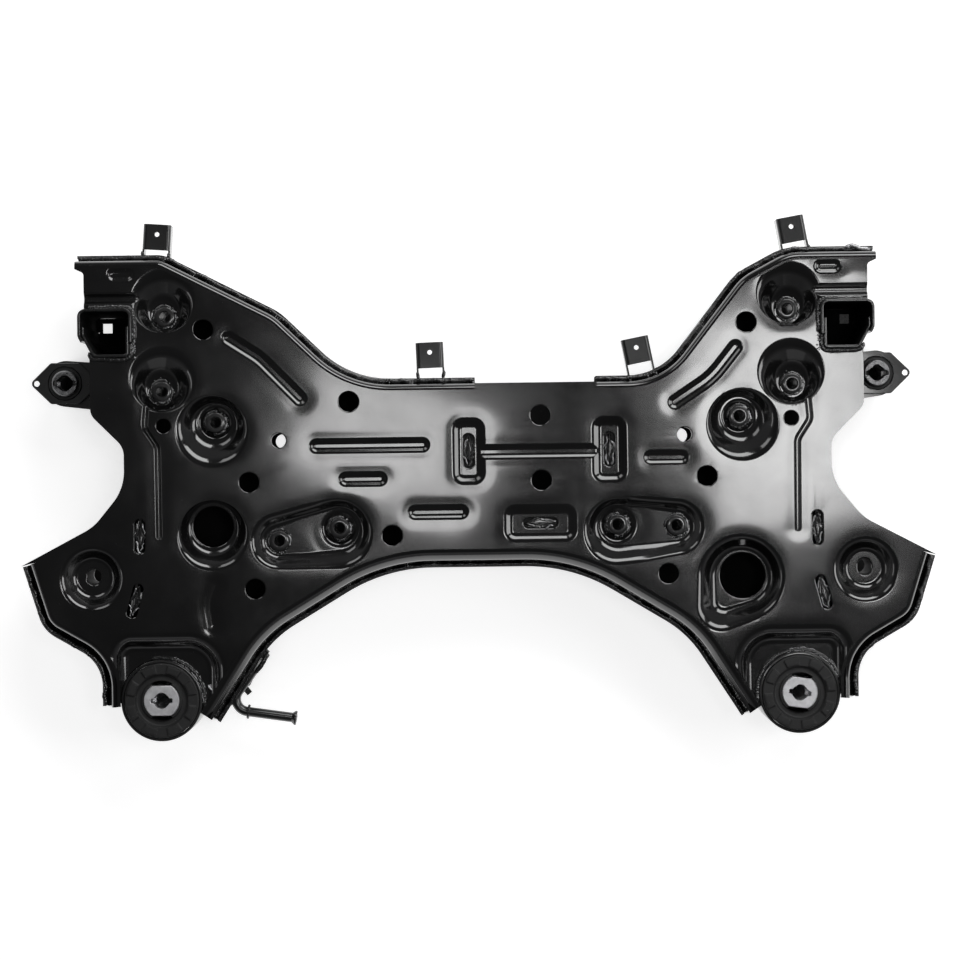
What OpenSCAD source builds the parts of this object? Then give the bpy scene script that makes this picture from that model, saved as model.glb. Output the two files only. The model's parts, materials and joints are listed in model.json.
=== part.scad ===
// Front subframe of a small car: two pressed shells welded round their edges, lying on its body mounts.
// +X is the right-hand side of the plan, +Y the front of the car, +Z the road side.

/* [Shells] */
// Height of the road-side face above the body mounting plane
face_z = 110; // [100:1:125]
// Depth over both shells
box_depth = 65; // [60:1:75]
// Sheet thickness of both shells
sheet = 3; // [2:0.25:4]
// Depth of the road shell's welded walls
road_wall = 30; // [24:1:36]
// Overlap of the two shells' walls
wall_lap = 8; // [5:0.5:12]
// Outer bend radius of the shells' edges
bend_r = 6; // [4.5:0.5:8]
// Gap between faces that are welded or pressed together
fit_gap = 0.3; // [0.1:0.05:0.4]
// Lean of the road shell's wall along the front edge
front_draft = 3.5; // [2:0.5:6]
// Lean of the road shell's wall along the rear arch
arch_draft = 10; // [6:0.5:14]
// How much lower the seam runs along the rear arch than elsewhere
arch_seam_drop = 13; // [8:1:16]
// Lean of the road shell's wall behind the wings
wing_draft = 8; // [4:0.5:11]

/* [Outline] */
// Half width over the wing tips
wing_half = 460; // [450:1:475]
// Half width of the front corners
front_half = 401; // [396:1:410]
// Half width of the panel beside the towers
shoulder_half = 392; // [388:1:395]
// Half width of the panel beside the front mounts
hip_half = 387; // [383:1:391]
// Half width of the waist between front mount and wing
waist_half = 354; // [350:1:360]
// Front edge of the horns
front_y = 227; // [222:1:232]
// Front edge of the middle
middle_y = 99.5; // [96:0.5:104]
// Cut-back edge between the two front walls
window_y = 93; // [90:0.5:96]
// Crown of the rear arch
arch_y = -92; // [-96:1:-88]

/* [Grooves and pockets] */
// Width of a stiffening groove at the face
groove_w = 15; // [11:0.5:18]
// Depth of a stiffening groove
groove_depth = 4; // [3:0.5:6]
// Depth of the three welded pockets
pocket_depth = 6; // [4:0.5:8]
// Sloping side of a pocket, seen from above
pocket_slope = 8; // [5:0.5:9]
// Width of the slots for plug welds
slot_w = 11; // [8:0.5:13]
// Length of the slots for plug welds
slot_l = 35; // [28:1:38]
// Diameter of the access holes
access_d = 20; // [16:0.5:22]
// Diameter of the holes right through both shells
through_d = 14.5; // [10:0.5:16]

/* [Dishes] */
// Depth of the four front dishes
front_dish_depth = 18; // [12:1:24]
// Depth of the two middle dishes
mid_dish_depth = 14; // [10:1:20]
// Depth of the two double pockets at the rear
rear_dish_depth = 10; // [7:0.5:14]
// Depth of the wing dishes over the arm bolts
wing_dish_depth = 12; // [8:1:16]
// Depth of the two large open dishes
open_dish_depth = 14; // [10:1:18]
// Depth of the recess round each rear mount
seat_depth = 14; // [9:1:18]

/* [Spacer tubes] */
// Outside diameter of a bolt spacer
spacer_d = 20; // [16:0.5:24]
// Bore of a bolt spacer
spacer_bore = 10.5; // [8:0.5:12]
// Height of a spacer above its dish floor
spacer_rise = 4; // [2:0.5:6]
// Outside diameter of an arm bolt spacer
arm_spacer_d = 30; // [24:1:36]
// Bore of an arm bolt spacer
arm_bore = 14.5; // [12:0.5:16]
// Length of the oval hole over the arm bolt
arm_oval = 18; // [16.5:0.5:22]

/* [Rear mounts] */
// Distance of the rear mounts from the centre plane
rear_x = 320.5; // [316:0.5:325]
// Place of the rear mounts along the car
rear_y = -221.5; // [-225:0.5:-218]
// Outside diameter of the steel sleeve
sleeve_d = 82; // [76:1:86]
// Wall of the steel sleeve
sleeve_wall = 3; // [2:0.25:4]
// Length of the steel sleeve
sleeve_l = 74; // [66:1:78]
// Width of the aluminium core
core_w = 35.5; // [30:0.5:40]
// Width of the core over its two flats
core_flat = 30; // [24:0.5:32]
// Length of the core
core_l = 101; // [96:1:108]
// Bolt hole of the core
core_bore = 16; // [12:0.5:18]
// Turn of the right-hand core about its bolt
core_turn_right = -8; // [-12:1:0]
// Width of the rubber's voids beside the core's flats
void_w = 5; // [4:0.5:7]
// Depth of the rubber's voids
void_depth = 45; // [20:1:60]

/* [Front mounts] */
// Distance of the left front mount outside the tower's centre
front_left_out = 49; // [45:0.5:53]
// Distance of the right front mount outside the tower's centre
front_right_out = 37; // [35:0.5:43]
// Distance of the front mounts behind the tower's centre
front_mount_back = 46; // [43:0.5:49]
// Outside diameter of the bush housing
housing_d = 41; // [39:1:46]
// Wall of the bush housing
housing_wall = 2.5; // [2:0.25:3.5]
// Length of the bush housing
housing_l = 40; // [34:1:46]
// Length of the flange plate over both ears
flange_l = 68; // [60:1:76]
// Width of the flange plate
flange_w = 42; // [39:1:48]
// Thickness of the flange plate
flange_t = 3; // [2:0.5:4]
// Diameter of the rubber neck inside the flange plate
neck_d = 34; // [31:1:35]
// Diameter of the steel core
front_core_d = 26; // [22:1:29]
// Length of the steel core
front_core_l = 60; // [57:1:66]
// Bolt hole of the steel core
front_core_bore = 16; // [12:0.5:18]
// Depth of the bracket under the body shell
bracket_depth = 20; // [14:1:26]
// Sheet thickness of the bracket
bracket_t = 3; // [2:0.5:4]

/* [Towers] */
// Distance of the tower from the centre plane
tower_x = 371; // [369:0.5:374]
// Place of the tower along the car
tower_y = 146; // [144:0.5:148]
// Width of the tower
tower_w = 54; // [50:1:56]
// Depth of the tower, front to rear
tower_d = 52; // [48:1:54]
// Height of the tower's mouth above the body mounting plane
tower_h = 117; // [112:1:126]
// Sheet thickness of the two channels
tower_wall = 3; // [2:0.25:3.5]
// Overlap of the two channels along their sides
tower_lap = 16; // [8:1:24]
// Square hole in the tower's end plate
tower_hole = 10; // [8:0.5:12]
// Distance of that hole outside the tower's centre
tower_hole_out = 12; // [8:0.5:13]
// Distance of that hole in front of the tower's centre
tower_hole_front = 12.5; // [8:0.5:13]

/* [Stiffeners] */
// Sheet thickness of the inner plates
rib_t = 2.5; // [2:0.25:4]
// Flange width of the inner channels
rib_w = 26; // [22:1:30]
// Length of the two lengthwise channels
rib_l = 96; // [80:1:104]
// Length of the cross channel
cross_l = 92; // [80:1:100]

/* [Tabs] */
// Width of a cover tab
tab_w = 28; // [24:1:32]
// Length of a cover tab's plate
tab_l = 26; // [22:1:28]
// Sheet thickness of a cover tab
tab_t = 2; // [1.5:0.25:3]
// Depth of a cover tab's legs
tab_leg = 20; // [14:1:26]
// Screw hole of a cover tab
tab_hole = 6.5; // [5:0.5:8]

/* [Exhaust hanger] */
// Diameter of the hanger rod
rod_d = 10; // [8:0.5:11]
// Height of the body panel above the rod's centre line
rod_drop = 4.35; // [4.3:0.05:5]
// Bend radius of the rod's centre line
rod_bend = 13; // [11:0.5:16]
// Diameter of the stop collar and the end head
rod_head = 15; // [13:0.5:18]

/* [Hidden] */
$fn = 64;
e = 1;

// Levels of the sheets
face_in = face_z - sheet;
back_z = face_z - box_depth;
back_in = back_z + sheet;
road_wall_z = face_z - road_wall;
body_wall_z = road_wall_z + wall_lap;

// Distance from the outer edge line to the flat of each panel
lap_in = sheet + fit_gap;
front_in = lap_in + front_draft + bend_r;
arch_in = lap_in + arch_draft + bend_r;
wing_in = lap_in + wing_draft + bend_r;

// Outer edge lines, clockwise in plan: [x, y, corner radius]
front_left_edge = rounded([[-front_half, front_y, 0], [-314, front_y, 30], [-198, 168, 60],
    [-127, middle_y, 100], [-2, middle_y, 0]]);
front_right_edge = rounded([[120, middle_y, 0], [183, middle_y, 65], [262, 201, 60],
    [311, front_y, 60], [front_half, front_y, 0]]);
side_edge = rounded([[front_half, front_y - front_in - 2, 0], [shoulder_half, 208, 4],
    [shoulder_half, tower_y, 0], [hip_half, tower_y, 0], [hip_half, 66, 15], [waist_half, 33, 20],
    [waist_half, -8, 50], [385, -46, 50], [wing_half - 2, -84.5, 0]]);
wing_edge = rounded([[wing_half, -86, 0], [wing_half - 20, -150, 35], [381, -184, 40], [381, -227, 0]]);
arch_edge = rounded([[264, -246, 0], [210, -162, 110], [94, arch_y, 170], [-94, arch_y, 170],
    [-210, -162, 110], [-264, -246, 0]]);
window_edge = [[-2, window_y], [120, window_y]];

road_outline = outline(front_in, wing_in, arch_in);
body_outline = outline(bend_r, bend_r, bend_r);
body_silhouette = outline(0, 0, 0);

// Pressings of the road panel: [discs at the face, discs at the floor, depth]
upper_bolt = [tower_x - 58, tower_y + 18];
lower_bolt = [tower_x - 54, tower_y - 57];
upper_dish = [[[upper_bolt.x, upper_bolt.y + 12.5, 29]], [[upper_bolt.x, upper_bolt.y + 1, 16]], front_dish_depth];
lower_dish = [[[lower_bolt.x - 2, lower_bolt.y + 9.5, 30]], [[lower_bolt.x, lower_bolt.y + 1, 16]], front_dish_depth];
mid_dish = [[[265, 50, 33.5]], [[263, 56, 21.5]], mid_dish_depth];
wing_dish = [[[387, -98, 30]], [[387, -97, 19]], wing_dish_depth];
rear_dish_left = [[[-141, -55, 33], [-200, -62.5, 26]], [[-140, -52, 23], [-200, -62.5, 16]], rear_dish_depth];
rear_dish_right = [[[139.5, -56, 32], [198, -53.5, 26]], [[139.5, -52, 22], [198, -53, 16]], rear_dish_depth];
open_dish_left = [[[-266, -54.5, 33.5]], [[-266.5, -48, 25]], open_dish_depth];
open_dish_right = [[[262.5, -105, 41], [242.5, -133, 22]], [[264.5, -103.5, 27], [264.5, -103.5, 27]],
    open_dish_depth];
seat_slope = 11;
seat_discs = [[-27, 29, 35], [28, 44, 20], [32, -80, 16], [-46, -80, 16]];
seat_dish = slope_press([for (d = seat_discs) [d.x + rear_x, d.y + rear_y, d.z]], seat_slope, seat_depth);
paired_dishes = [upper_dish, lower_dish, mid_dish, wing_dish, seat_dish];
single_dishes = [rear_dish_left, rear_dish_right, open_dish_left, open_dish_right];
pockets = [pocket([-9, 25], [30, 63]), pocket([132, 25], [32, 63]), pocket([62, -48], [70, 34])];
straight_grooves = [[[-166, 32], [-50, 32]], [[-137, -1.5], [-93, -1.5]], [[-68, -35.5], [-12, -35.5]],
    [[0, 24], [122, 24]], [[169, 16.5], [208, 16.5]], [[-365, 206], [-345, 206]], [[343, 205.5], [362, 205.5]]];
bent_grooves = [rounded([[-251, 143, 0], [-217, 121, 60], [-174, 77, 0]], 6),
    rounded([[195, 69.5, 0], [235, 96, 80], [261, 129, 0]], 6)];
step_w = 6;
step_depth = 3.5;
tower_step_w = 11;
tower_step_depth = 4;
wing_step = rounded([[331, 75, 0], [333, 53, 12], [320, 33, 14], [319.5, -56, 0]], 15);
tower_step = [[338, 182], [420, 182]];

// Holes of the road panel: [x, y, diameter]
access_holes = [[-273, 150], [270, 150.5], [-128.5, 76], [63, 60], [63.5, -5], [-86.5, -58.5], [189.5, -100],
    [-229, -3.5], [229, -3], [-224, -110]];
small_holes = [[-314, 54], [314, 54]];
through_holes = [[-199, 38], [207, 39]];
open_hole_left = [-266.5, -47.5, 41];
open_hole_right = [264.5, -103.5, 46];

// Plug-weld slots: [x, y, turn of the slot's length from the Y axis]
pocket_slots = [[-9, 25, 0], [132, 25, 0], [62, -48, 90]];
wing_slots = [[339, -56, 0], [344.5, -120.5, 15]];

// Bolt spacers: [x, y] on the right, and the odd pair at the rear
mid_bolt = [263, 57];
inner_bolt = [139.5, -50.5];
outer_bolt_left = [-200, -62.5];
outer_bolt_right = [198.5, -52];
arm_bolt = [387, -96];
front_floor_z = face_z - front_dish_depth;
mid_floor_z = face_z - mid_dish_depth;
rear_floor_z = face_z - rear_dish_depth;
spacer_places = [for (p = [upper_bolt, lower_bolt, mid_bolt, inner_bolt], s = [-1, 1]) [s * p.x, p.y],
    outer_bolt_left, outer_bolt_right];

// Swages of the body panel, pressed into the box
body_grooves = [[[-205, 76], [-160, 76]], [[-100, 60], [-40, 60]], [[165, 62], [215, 62]],
    [[-120, -20], [-40, -20]], [[165, -10], [190, -10]], [[-190, -10], [-165, -10]]];
drain_holes = [[-290, -10], [290, -10], [-60, 20], [64, 20], [-290, -150], [290, -150]];
drain_d = 16;

// Rear mount
seat_z = face_z - seat_depth;
sleeve_top = seat_z + 2;
rubber_r = sleeve_d / 2 - sleeve_wall - fit_gap;
rubber_top = sleeve_top + 2;
rubber_low = sleeve_top - sleeve_l + 4;
key_w = 5;
key_l = 22;
key_depth = 25;
block_count = 8;
block_turn = 24;
block_rise = 1.5;
void_turn = 60;

// Front mount
front_left_x = tower_x + front_left_out;
front_right_x = tower_x + front_right_out;
front_mount_y = tower_y - front_mount_back;
housing_top = 52;
flange_top = housing_top + flange_t;
front_rubber_r = housing_d / 2 - housing_wall - fit_gap;
ear_hole = 6;
ear_r = 5;
ear_x = flange_l / 2 - ear_r;
shoulder_r = 4;
shoulder_x = 13;
bracket_foot_x = 350;
bracket_feet_y = [-22, 8];
bracket_foot_r = 10;

// Tower outline about its own centre, right-hand side
tower_outline = rounded_loop([[-tower_w / 2, tower_d / 2, 8], [tower_w / 2, tower_d / 2, 8],
    [tower_w / 2, -2, 10], [tower_w / 2 - 13, -tower_d / 2, 9], [-tower_w / 2, -tower_d / 2, 8]]);

// Wing bulkhead's line in plan, right-hand side
bulkhead_line = rounded([[338, 38, 0], [339, -86, 30], [352, -146, 0]], 6);

// Cover tabs: [x, y, turn], front left, front right, middle left, middle right
tab_places = [[-320, front_y + 31, -4], [317.5, front_y + 30.5, 10], [-47.5, middle_y + 36, 2],
    [159.5, middle_y + 38, 11]];

// Hanger rod's corners in plan
rod_start = [-219.4, -177.8];
rod_corner = [-261.2, -235.1];
rod_end = [-189, -245.7];
rod_z = back_z - rod_drop;
collar_t = 2.5;
gusset = [16, 6, 3];
gusset_place = [-244, -212];
gusset_turn = -52;
head_t = 2;
head_taper = 3;

steel = "#1b1b1d";
rubber_tone = "#262627";
bright = "#d5d6d8";

function unit(v) = v / norm(v);
function turn(u, v) = atan2(u.x * v.y - u.y * v.x, u * v);
function flat(p) = [p.x, p.y];
function left_of(u) = [-u.y, u.x];
function rotated(v, q) = [v.x * cos(q) - v.y * sin(q), v.x * sin(q) + v.y * cos(q)];

// Arc that rounds the corner b between a and c
function corner_arc(a, b, c, r, step) =
    let (u = unit(b - a), v = unit(c - b), bend = turn(u, v), side = sign(bend))
    let (start = b - u * r * tan(abs(bend) / 2), out = side * r * left_of(u))
    let (n = max(2, ceil(abs(bend) / step)))
    [for (k = [0:n]) start + out - rotated(out, bend * k / n)];

// Open and closed corner lists [x, y, radius] as points
function rounded(c, step = 10) = [for (i = [0:len(c) - 1]) each
    (c[i].z == 0) ? [flat(c[i])] : corner_arc(flat(c[i - 1]), flat(c[i]), flat(c[i + 1]), c[i].z, step)];
function rounded_loop(c, step = 10) = [for (i = [0:len(c) - 1]) each
    corner_arc(flat(c[(i + len(c) - 1) % len(c)]), flat(c[i]), flat(c[(i + 1) % len(c)]), c[i].z, step)];

// Path moved sideways by d, to the left of its direction
function grown(p, d) = [for (i = [0:len(p) - 1])
    let (last = len(p) - 1, u = unit(p[min(i + 1, last)] - p[min(i, last - 1)]))
    let (w = unit(p[max(i, 1)] - p[max(i - 1, 0)]), m = u + w)
    p[i] + d * left_of(m) / (m * u)];

function flipped(p) = [for (i = [len(p) - 1:-1:0]) [-p[i].x, p[i].y]];

// Closed plan outline with its welded edges set in by the given amounts
function outline(front, wing, arch) = concat(grown(front_left_edge, -front), window_edge,
    grown(front_right_edge, -front), side_edge, grown(wing_edge, -wing), grown(arch_edge, -arch),
    grown(flipped(wing_edge), -wing), flipped(side_edge));

// Convex outline round a set of discs [x, y, r], one point for each direction
function hull_points(discs, n) = [for (k = [0:n - 1]) let (dir = [cos(360 * k / n), sin(360 * k / n)])
    let (reach = [for (d = discs) flat(d) * dir + d.z], i = search(max(reach), reach)[0])
    flat(discs[i]) + discs[i].z * dir];

function swollen(discs, r) = [for (d = discs) [d.x, d.y, d.z + r]];
function at_z(points, z) = [for (p = points) [p.x, p.y, z]];
function slope_press(discs, slope, depth) = [discs, swollen(discs, -slope), depth];
function pocket(c, size, r = 10) = slope_press([for (s = [[-1, -1], [1, -1], [1, 1], [-1, 1]])
    [c.x + s.x * (size.x / 2 - r), c.y + s.y * (size.y / 2 - r), r]], pocket_slope, pocket_depth);
function groove(ends) = [[for (p = ends) [p.x, p.y, groove_w / 2]], [for (p = ends) [p.x, p.y, groove_w / 5]],
    groove_depth];

// Solid through a row of like rings; a ring runs counter-clockwise seen from the last one
module skin(rings) {
    n = len(rings);
    m = len(rings[0]);
    sides = [for (i = [0:n - 2], k = [0:m - 1]) let (k1 = (k + 1) % m)
        [i * m + k, (i + 1) * m + k, (i + 1) * m + k1, i * m + k1]];
    first = [for (k = [0:m / 2 - 2]) [k, k + 1, m - 2 - k, m - 1 - k]];
    last = [for (q = first) [for (k = [3:-1:0]) (n - 1) * m + q[k]]];
    polyhedron([for (r = rings) each r], concat(sides, first, last));
}

// Sheet wall along an edge line; outer and inner list [offset, z] from the flat to the free edge
module wall(edge, outer, inner) {
    section = concat(inner, [for (k = [len(outer) - 1:-1:0]) outer[k]]);
    rows = [for (s = section) at_z(grown(edge, s.x), s.y)];
    skin([for (i = [0:len(edge) - 1]) [for (r = rows) r[i]]]);
}

// The road shell's wall bends down from the face and leans out to the seam
module road_wall(edge, draft, drop = 0) {
    top = -lap_in - draft;
    arc = sqrt(0.5);
    in_r = bend_r - sheet;
    wall(edge,
        [[top - bend_r, face_z], [top - bend_r * (1 - arc), face_z - bend_r * (1 - arc)],
            [top, face_z - bend_r], [-lap_in, road_wall_z - drop]],
        [[top - bend_r, face_in], [top - bend_r + in_r * arc, face_z - bend_r + in_r * arc],
            [top - sheet, face_z - bend_r], [-lap_in - sheet, road_wall_z - drop]]);
}

// The body shell's wall stands up outside it
module body_wall(edge, drop = 0) {
    arc = sqrt(0.5);
    in_r = bend_r - sheet;
    wall(edge,
        [[0, body_wall_z - drop], [0, back_z + bend_r],
            [-bend_r * (1 - arc), back_z + bend_r * (1 - arc)], [-bend_r, back_z]],
        [[-sheet, body_wall_z - drop], [-sheet, back_z + bend_r],
            [-bend_r + in_r * arc, back_z + bend_r - in_r * arc], [-bend_r, back_in]]);
}

module mirrored() {
    children();
    mirror([1, 0, 0]) children();
}

module on_side(side) {
    if (side > 0) children();
    else mirror([1, 0, 0]) children();
}

// A pressing as the cavity in the face and as the sheet that surrounds it below
module cavity(press, n) {
    lift = e * (press[0] - press[1]) / press[2];
    skin([at_z(hull_points(press[1], n), face_z - press[2]),
        at_z(hull_points(press[0] + lift, n), face_z + e)]);
}

module shell(press, n) {
    swell = 0.7 * sheet;
    skin([at_z(hull_points(swollen(press[1], swell), n), face_in - press[2]),
        at_z(hull_points(swollen(press[0], swell), n), face_in + e)]);
}

// Groove along a bent path, blunt at its ends
module ribbon(path, w_face, w_floor, z_face, z_floor) {
    nose = [25, 50, 75];
    u0 = unit(path[1] - path[0]);
    u1 = unit(path[len(path) - 1] - path[len(path) - 2]);
    function rail(w, s) = concat(
        [for (q = nose) path[0] - u0 * w * cos(q) + s * left_of(u0) * w * sin(q)],
        grown(path, s * w),
        [for (k = [2:-1:0]) let (q = nose[k])
            path[len(path) - 1] + u1 * w * cos(q) + s * left_of(u1) * w * sin(q)]);
    rails = [at_z(rail(w_face, 1), z_face), at_z(rail(w_face, -1), z_face),
        at_z(rail(w_floor, -1), z_floor), at_z(rail(w_floor, 1), z_floor)];
    skin([for (i = [0:len(rails[0]) - 1]) [for (r = rails) r[i]]]);
}

module bent_cavity(path, w, depth) {
    steep = 0.3 * w / depth;
    ribbon(path, w / 2 + e * steep, w / 5, face_z + e, face_z - depth);
}

module bent_shell(path, w, depth) {
    ribbon(path, w / 2 + 0.7 * sheet, w / 5 + 0.7 * sheet, face_in + e, face_in - depth);
}

module slot(place, w, l) {
    translate([place.x, place.y]) rotate(place.z) {
        square([w, l - w], center = true);
        for (s = [-1, 1]) translate([0, s * (l - w) / 2]) circle(d = w);
    }
}

module tower_shape(inset = 0) {
    translate([tower_x, tower_y]) offset(delta = -inset) polygon(tower_outline);
}

module housing_places() {
    for (x = [-front_left_x, front_right_x]) translate([x, front_mount_y]) children();
}

// Cut-outs that both shells share: towers, rear sleeves and through holes
module shared_holes() {
    mirrored() tower_shape(-fit_gap);
    mirrored() translate([rear_x, rear_y]) circle(d = sleeve_d + 2 * fit_gap);
    for (p = through_holes) translate(p) circle(d = through_d);
}

module road_shells() {
    mirrored() for (d = paired_dishes) shell(d, 36);
    for (d = single_dishes) shell(d, 36);
    for (d = concat(pockets, [for (g = straight_grooves) groove(g)])) shell(d, 24);
    for (g = bent_grooves) bent_shell(g, groove_w, groove_depth);
    mirrored() bent_shell(wing_step, step_w, step_depth);
    mirrored() bent_shell(tower_step, tower_step_w, tower_step_depth);
}

module road_cavities() {
    mirrored() for (d = paired_dishes) cavity(d, 36);
    for (d = single_dishes) cavity(d, 36);
    for (d = concat(pockets, [for (g = straight_grooves) groove(g)])) cavity(d, 24);
    for (g = bent_grooves) bent_cavity(g, groove_w, groove_depth);
    mirrored() bent_cavity(wing_step, step_w, step_depth);
    mirrored() bent_cavity(tower_step, tower_step_w, tower_step_depth);
}

module road_holes() {
    shared_holes();
    for (p = access_holes) translate(p) circle(d = access_d);
    for (p = small_holes) translate(p) circle(d = through_d);
    for (h = [open_hole_left, open_hole_right]) translate(flat(h)) circle(d = h.z);
    for (p = spacer_places) translate(p) circle(d = spacer_d + 2 * fit_gap);
    mirrored() slot([arm_bolt.x, arm_bolt.y, 0], arm_bore, arm_oval);
    for (s = pocket_slots) slot(s, slot_w, slot_l);
    mirrored() for (s = wing_slots) slot(s, slot_w, slot_l);
}

module road_panel() color(steel) difference() {
    union() {
        translate([0, 0, face_in]) linear_extrude(sheet) polygon(road_outline);
        intersection() {
            linear_extrude(face_z) polygon(road_outline);
            road_shells();
        }
        road_wall(front_left_edge, front_draft);
        road_wall(front_right_edge, front_draft);
        road_wall(arch_edge, arch_draft, arch_seam_drop);
        mirrored() road_wall(wing_edge, wing_draft);
    }
    road_cavities();
    translate([0, 0, back_z]) linear_extrude(box_depth + e) road_holes();
}

module body_holes() {
    shared_holes();
    for (p = spacer_places) translate(p) circle(d = spacer_bore);
    mirrored() translate(arm_bolt) circle(d = arm_bore);
    for (p = drain_holes) translate(p) circle(d = drain_d);
    housing_places() circle(d = housing_d + 2 * fit_gap);
}

// The body panel's swages are the road panel's grooves turned over
module turned_over() {
    translate([0, 0, face_z + back_z]) mirror([0, 0, 1]) children();
}

module body_panel() color(steel) difference() {
    union() {
        translate([0, 0, back_z]) linear_extrude(sheet) polygon(body_outline);
        turned_over() for (g = body_grooves) shell(groove(g), 24);
        body_wall(front_left_edge);
        body_wall(front_right_edge);
        body_wall(arch_edge, arch_seam_drop);
        mirrored() body_wall(wing_edge);
    }
    turned_over() for (g = body_grooves) cavity(groove(g), 24);
    translate([0, 0, back_z - e]) linear_extrude(box_depth) body_holes();
}

module wing_bulkhead(side) color(steel) on_side(side)
    translate([0, 0, back_in]) linear_extrude(face_in - back_in)
        polygon(concat(grown(bulkhead_line, rib_t / 2), reverse_list(grown(bulkhead_line, -rib_t / 2))));

function reverse_list(p) = [for (i = [len(p) - 1:-1:0]) p[i]];

// Channel section between the body panel and a pocket floor, running along Y
module channel(length) {
    h = face_in - pocket_depth - back_in;
    translate([0, length / 2, back_in]) rotate([90, 0, 0]) linear_extrude(length) difference() {
        translate([-rib_w / 2, 0]) square([rib_w, h]);
        translate([-rib_w / 2 + rib_t, rib_t]) square([rib_w, h - 2 * rib_t]);
    }
}

module rib_left() color(steel) translate([pocket_slots[0].x, 34]) channel(rib_l);
module rib_right() color(steel) translate([pocket_slots[1].x, 34]) mirror([1, 0, 0]) channel(rib_l);
module cross_rib() color(steel) translate([pocket_slots[2].x, pocket_slots[2].y]) rotate(90) channel(cross_l);

module tube(d, bore, z, top) {
    translate([0, 0, z]) difference() {
        cylinder(d = d, h = top - z);
        translate([0, 0, -e]) cylinder(d = bore, h = top - z + 2 * e);
    }
}

module spacer(place, floor_z) color(steel)
    translate(place) tube(spacer_d, spacer_bore, back_in, floor_z + spacer_rise);

module arm_spacer(side) color(steel)
    translate([side * arm_bolt.x, arm_bolt.y]) tube(arm_spacer_d, arm_bore, back_in, face_in - wing_dish_depth);

module half_plane(y, side) {
    translate([tower_x - tower_w, side > 0 ? y : y - tower_d]) square([2 * tower_w, tower_d]);
}

module tower_channel(side, inset, y, facing, top) color(steel) on_side(side) linear_extrude(top)
    intersection() {
        difference() {
            tower_shape(inset);
            tower_shape(inset + tower_wall);
        }
        half_plane(y, facing);
    }

module tower_front_channel(side) tower_channel(side, 0, tower_y - tower_lap / 2, 1, tower_h);
module tower_rear_channel(side)
    tower_channel(side, tower_wall + fit_gap, tower_y + tower_lap / 2, -1, tower_h - tower_wall);

module tower_end_plate(side) color(steel) on_side(side) linear_extrude(tower_wall) difference() {
    union() {
        tower_shape(2 * tower_wall + 2 * fit_gap);
        intersection() {
            tower_shape(tower_wall + fit_gap);
            half_plane(tower_y + tower_lap / 2 + fit_gap, 1);
        }
    }
    translate([tower_x + tower_hole_out, tower_y + tower_hole_front]) square(tower_hole, center = true);
}

function front_place(side) = [side > 0 ? front_right_x : -front_left_x, front_mount_y];

// Saddle under the body panel that carries the front bush housing
module bracket_shape(side, inset) {
    p = front_place(side);
    r = housing_d / 2 + bracket_t - inset;
    feet = [for (y = bracket_feet_y) [side * bracket_foot_x, p.y + y, bracket_foot_r - inset]];
    polygon(hull_points(concat([[p.x, p.y, r]], feet), 48));
}

module front_bracket(side) color(steel) difference() {
    translate([0, 0, back_z - bracket_depth]) linear_extrude(bracket_depth) bracket_shape(side, 0);
    translate([0, 0, back_z - bracket_depth - bracket_t]) linear_extrude(bracket_depth)
        bracket_shape(side, bracket_t);
    translate(front_place(side)) cylinder(d = housing_d + 2 * fit_gap, h = face_z);
    linear_extrude(face_z) on_side(side) tower_shape(-fit_gap);
}

module front_housing(side) color(steel) translate(front_place(side))
    tube(housing_d, housing_d - 2 * housing_wall, housing_top - housing_l, housing_top);

module front_flange(side) color(steel) translate(front_place(side)) difference() {
    translate([0, 0, housing_top]) linear_extrude(flange_t) difference() {
        ears = [for (s = [-1, 1]) [s * ear_x, 0, ear_r]];
        shoulder_y = flange_w / 2 - shoulder_r;
        shoulders = [for (s = [-1, 1], t = [-1, 1]) [s * shoulder_x, t * shoulder_y, shoulder_r]];
        polygon(hull_points(concat([[0, 0, flange_w / 2]], ears, shoulders), 48));
        circle(d = neck_d + 2 * fit_gap);
        for (s = [-1, 1]) translate([s * ear_x, 0]) circle(d = ear_hole);
    }
}

module front_rubber(side) color(rubber_tone) translate(front_place(side)) rotate_extrude() {
    bore_r = front_core_d / 2 + fit_gap;
    polygon([[bore_r, housing_top - housing_l + 2], [front_rubber_r, housing_top - housing_l + 2],
        [front_rubber_r, housing_top - fit_gap], [neck_d / 2, housing_top - fit_gap],
        [neck_d / 2, flange_top - 0.5], [bore_r, flange_top + 1]]);
}

// Bolt hole with two keyways in its road-side end
module keyed_bore(bore, top, turned) {
    translate([0, 0, -e]) cylinder(d = bore, h = top + 2 * e);
    rotate(turned) translate([-key_l / 2, -key_w / 2, top - key_depth]) cube([key_l, key_w, key_depth + e]);
}

module front_core(side) color(bright) translate(front_place(side)) difference() {
    cylinder(d = front_core_d, h = front_core_l);
    keyed_bore(front_core_bore, front_core_l, 0);
}

function core_turn(side) = side > 0 ? core_turn_right : 0;

module at_rear(side) {
    translate([side * rear_x, rear_y]) children();
}

module rear_sleeve(side) color(steel) at_rear(side)
    tube(sleeve_d, sleeve_d - 2 * sleeve_wall, sleeve_top - sleeve_l, sleeve_top);

module core_shape(gap) {
    intersection() {
        circle(d = core_w + 2 * gap);
        square([core_w + 3 * gap, core_flat + 2 * gap], center = true);
    }
}

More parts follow.
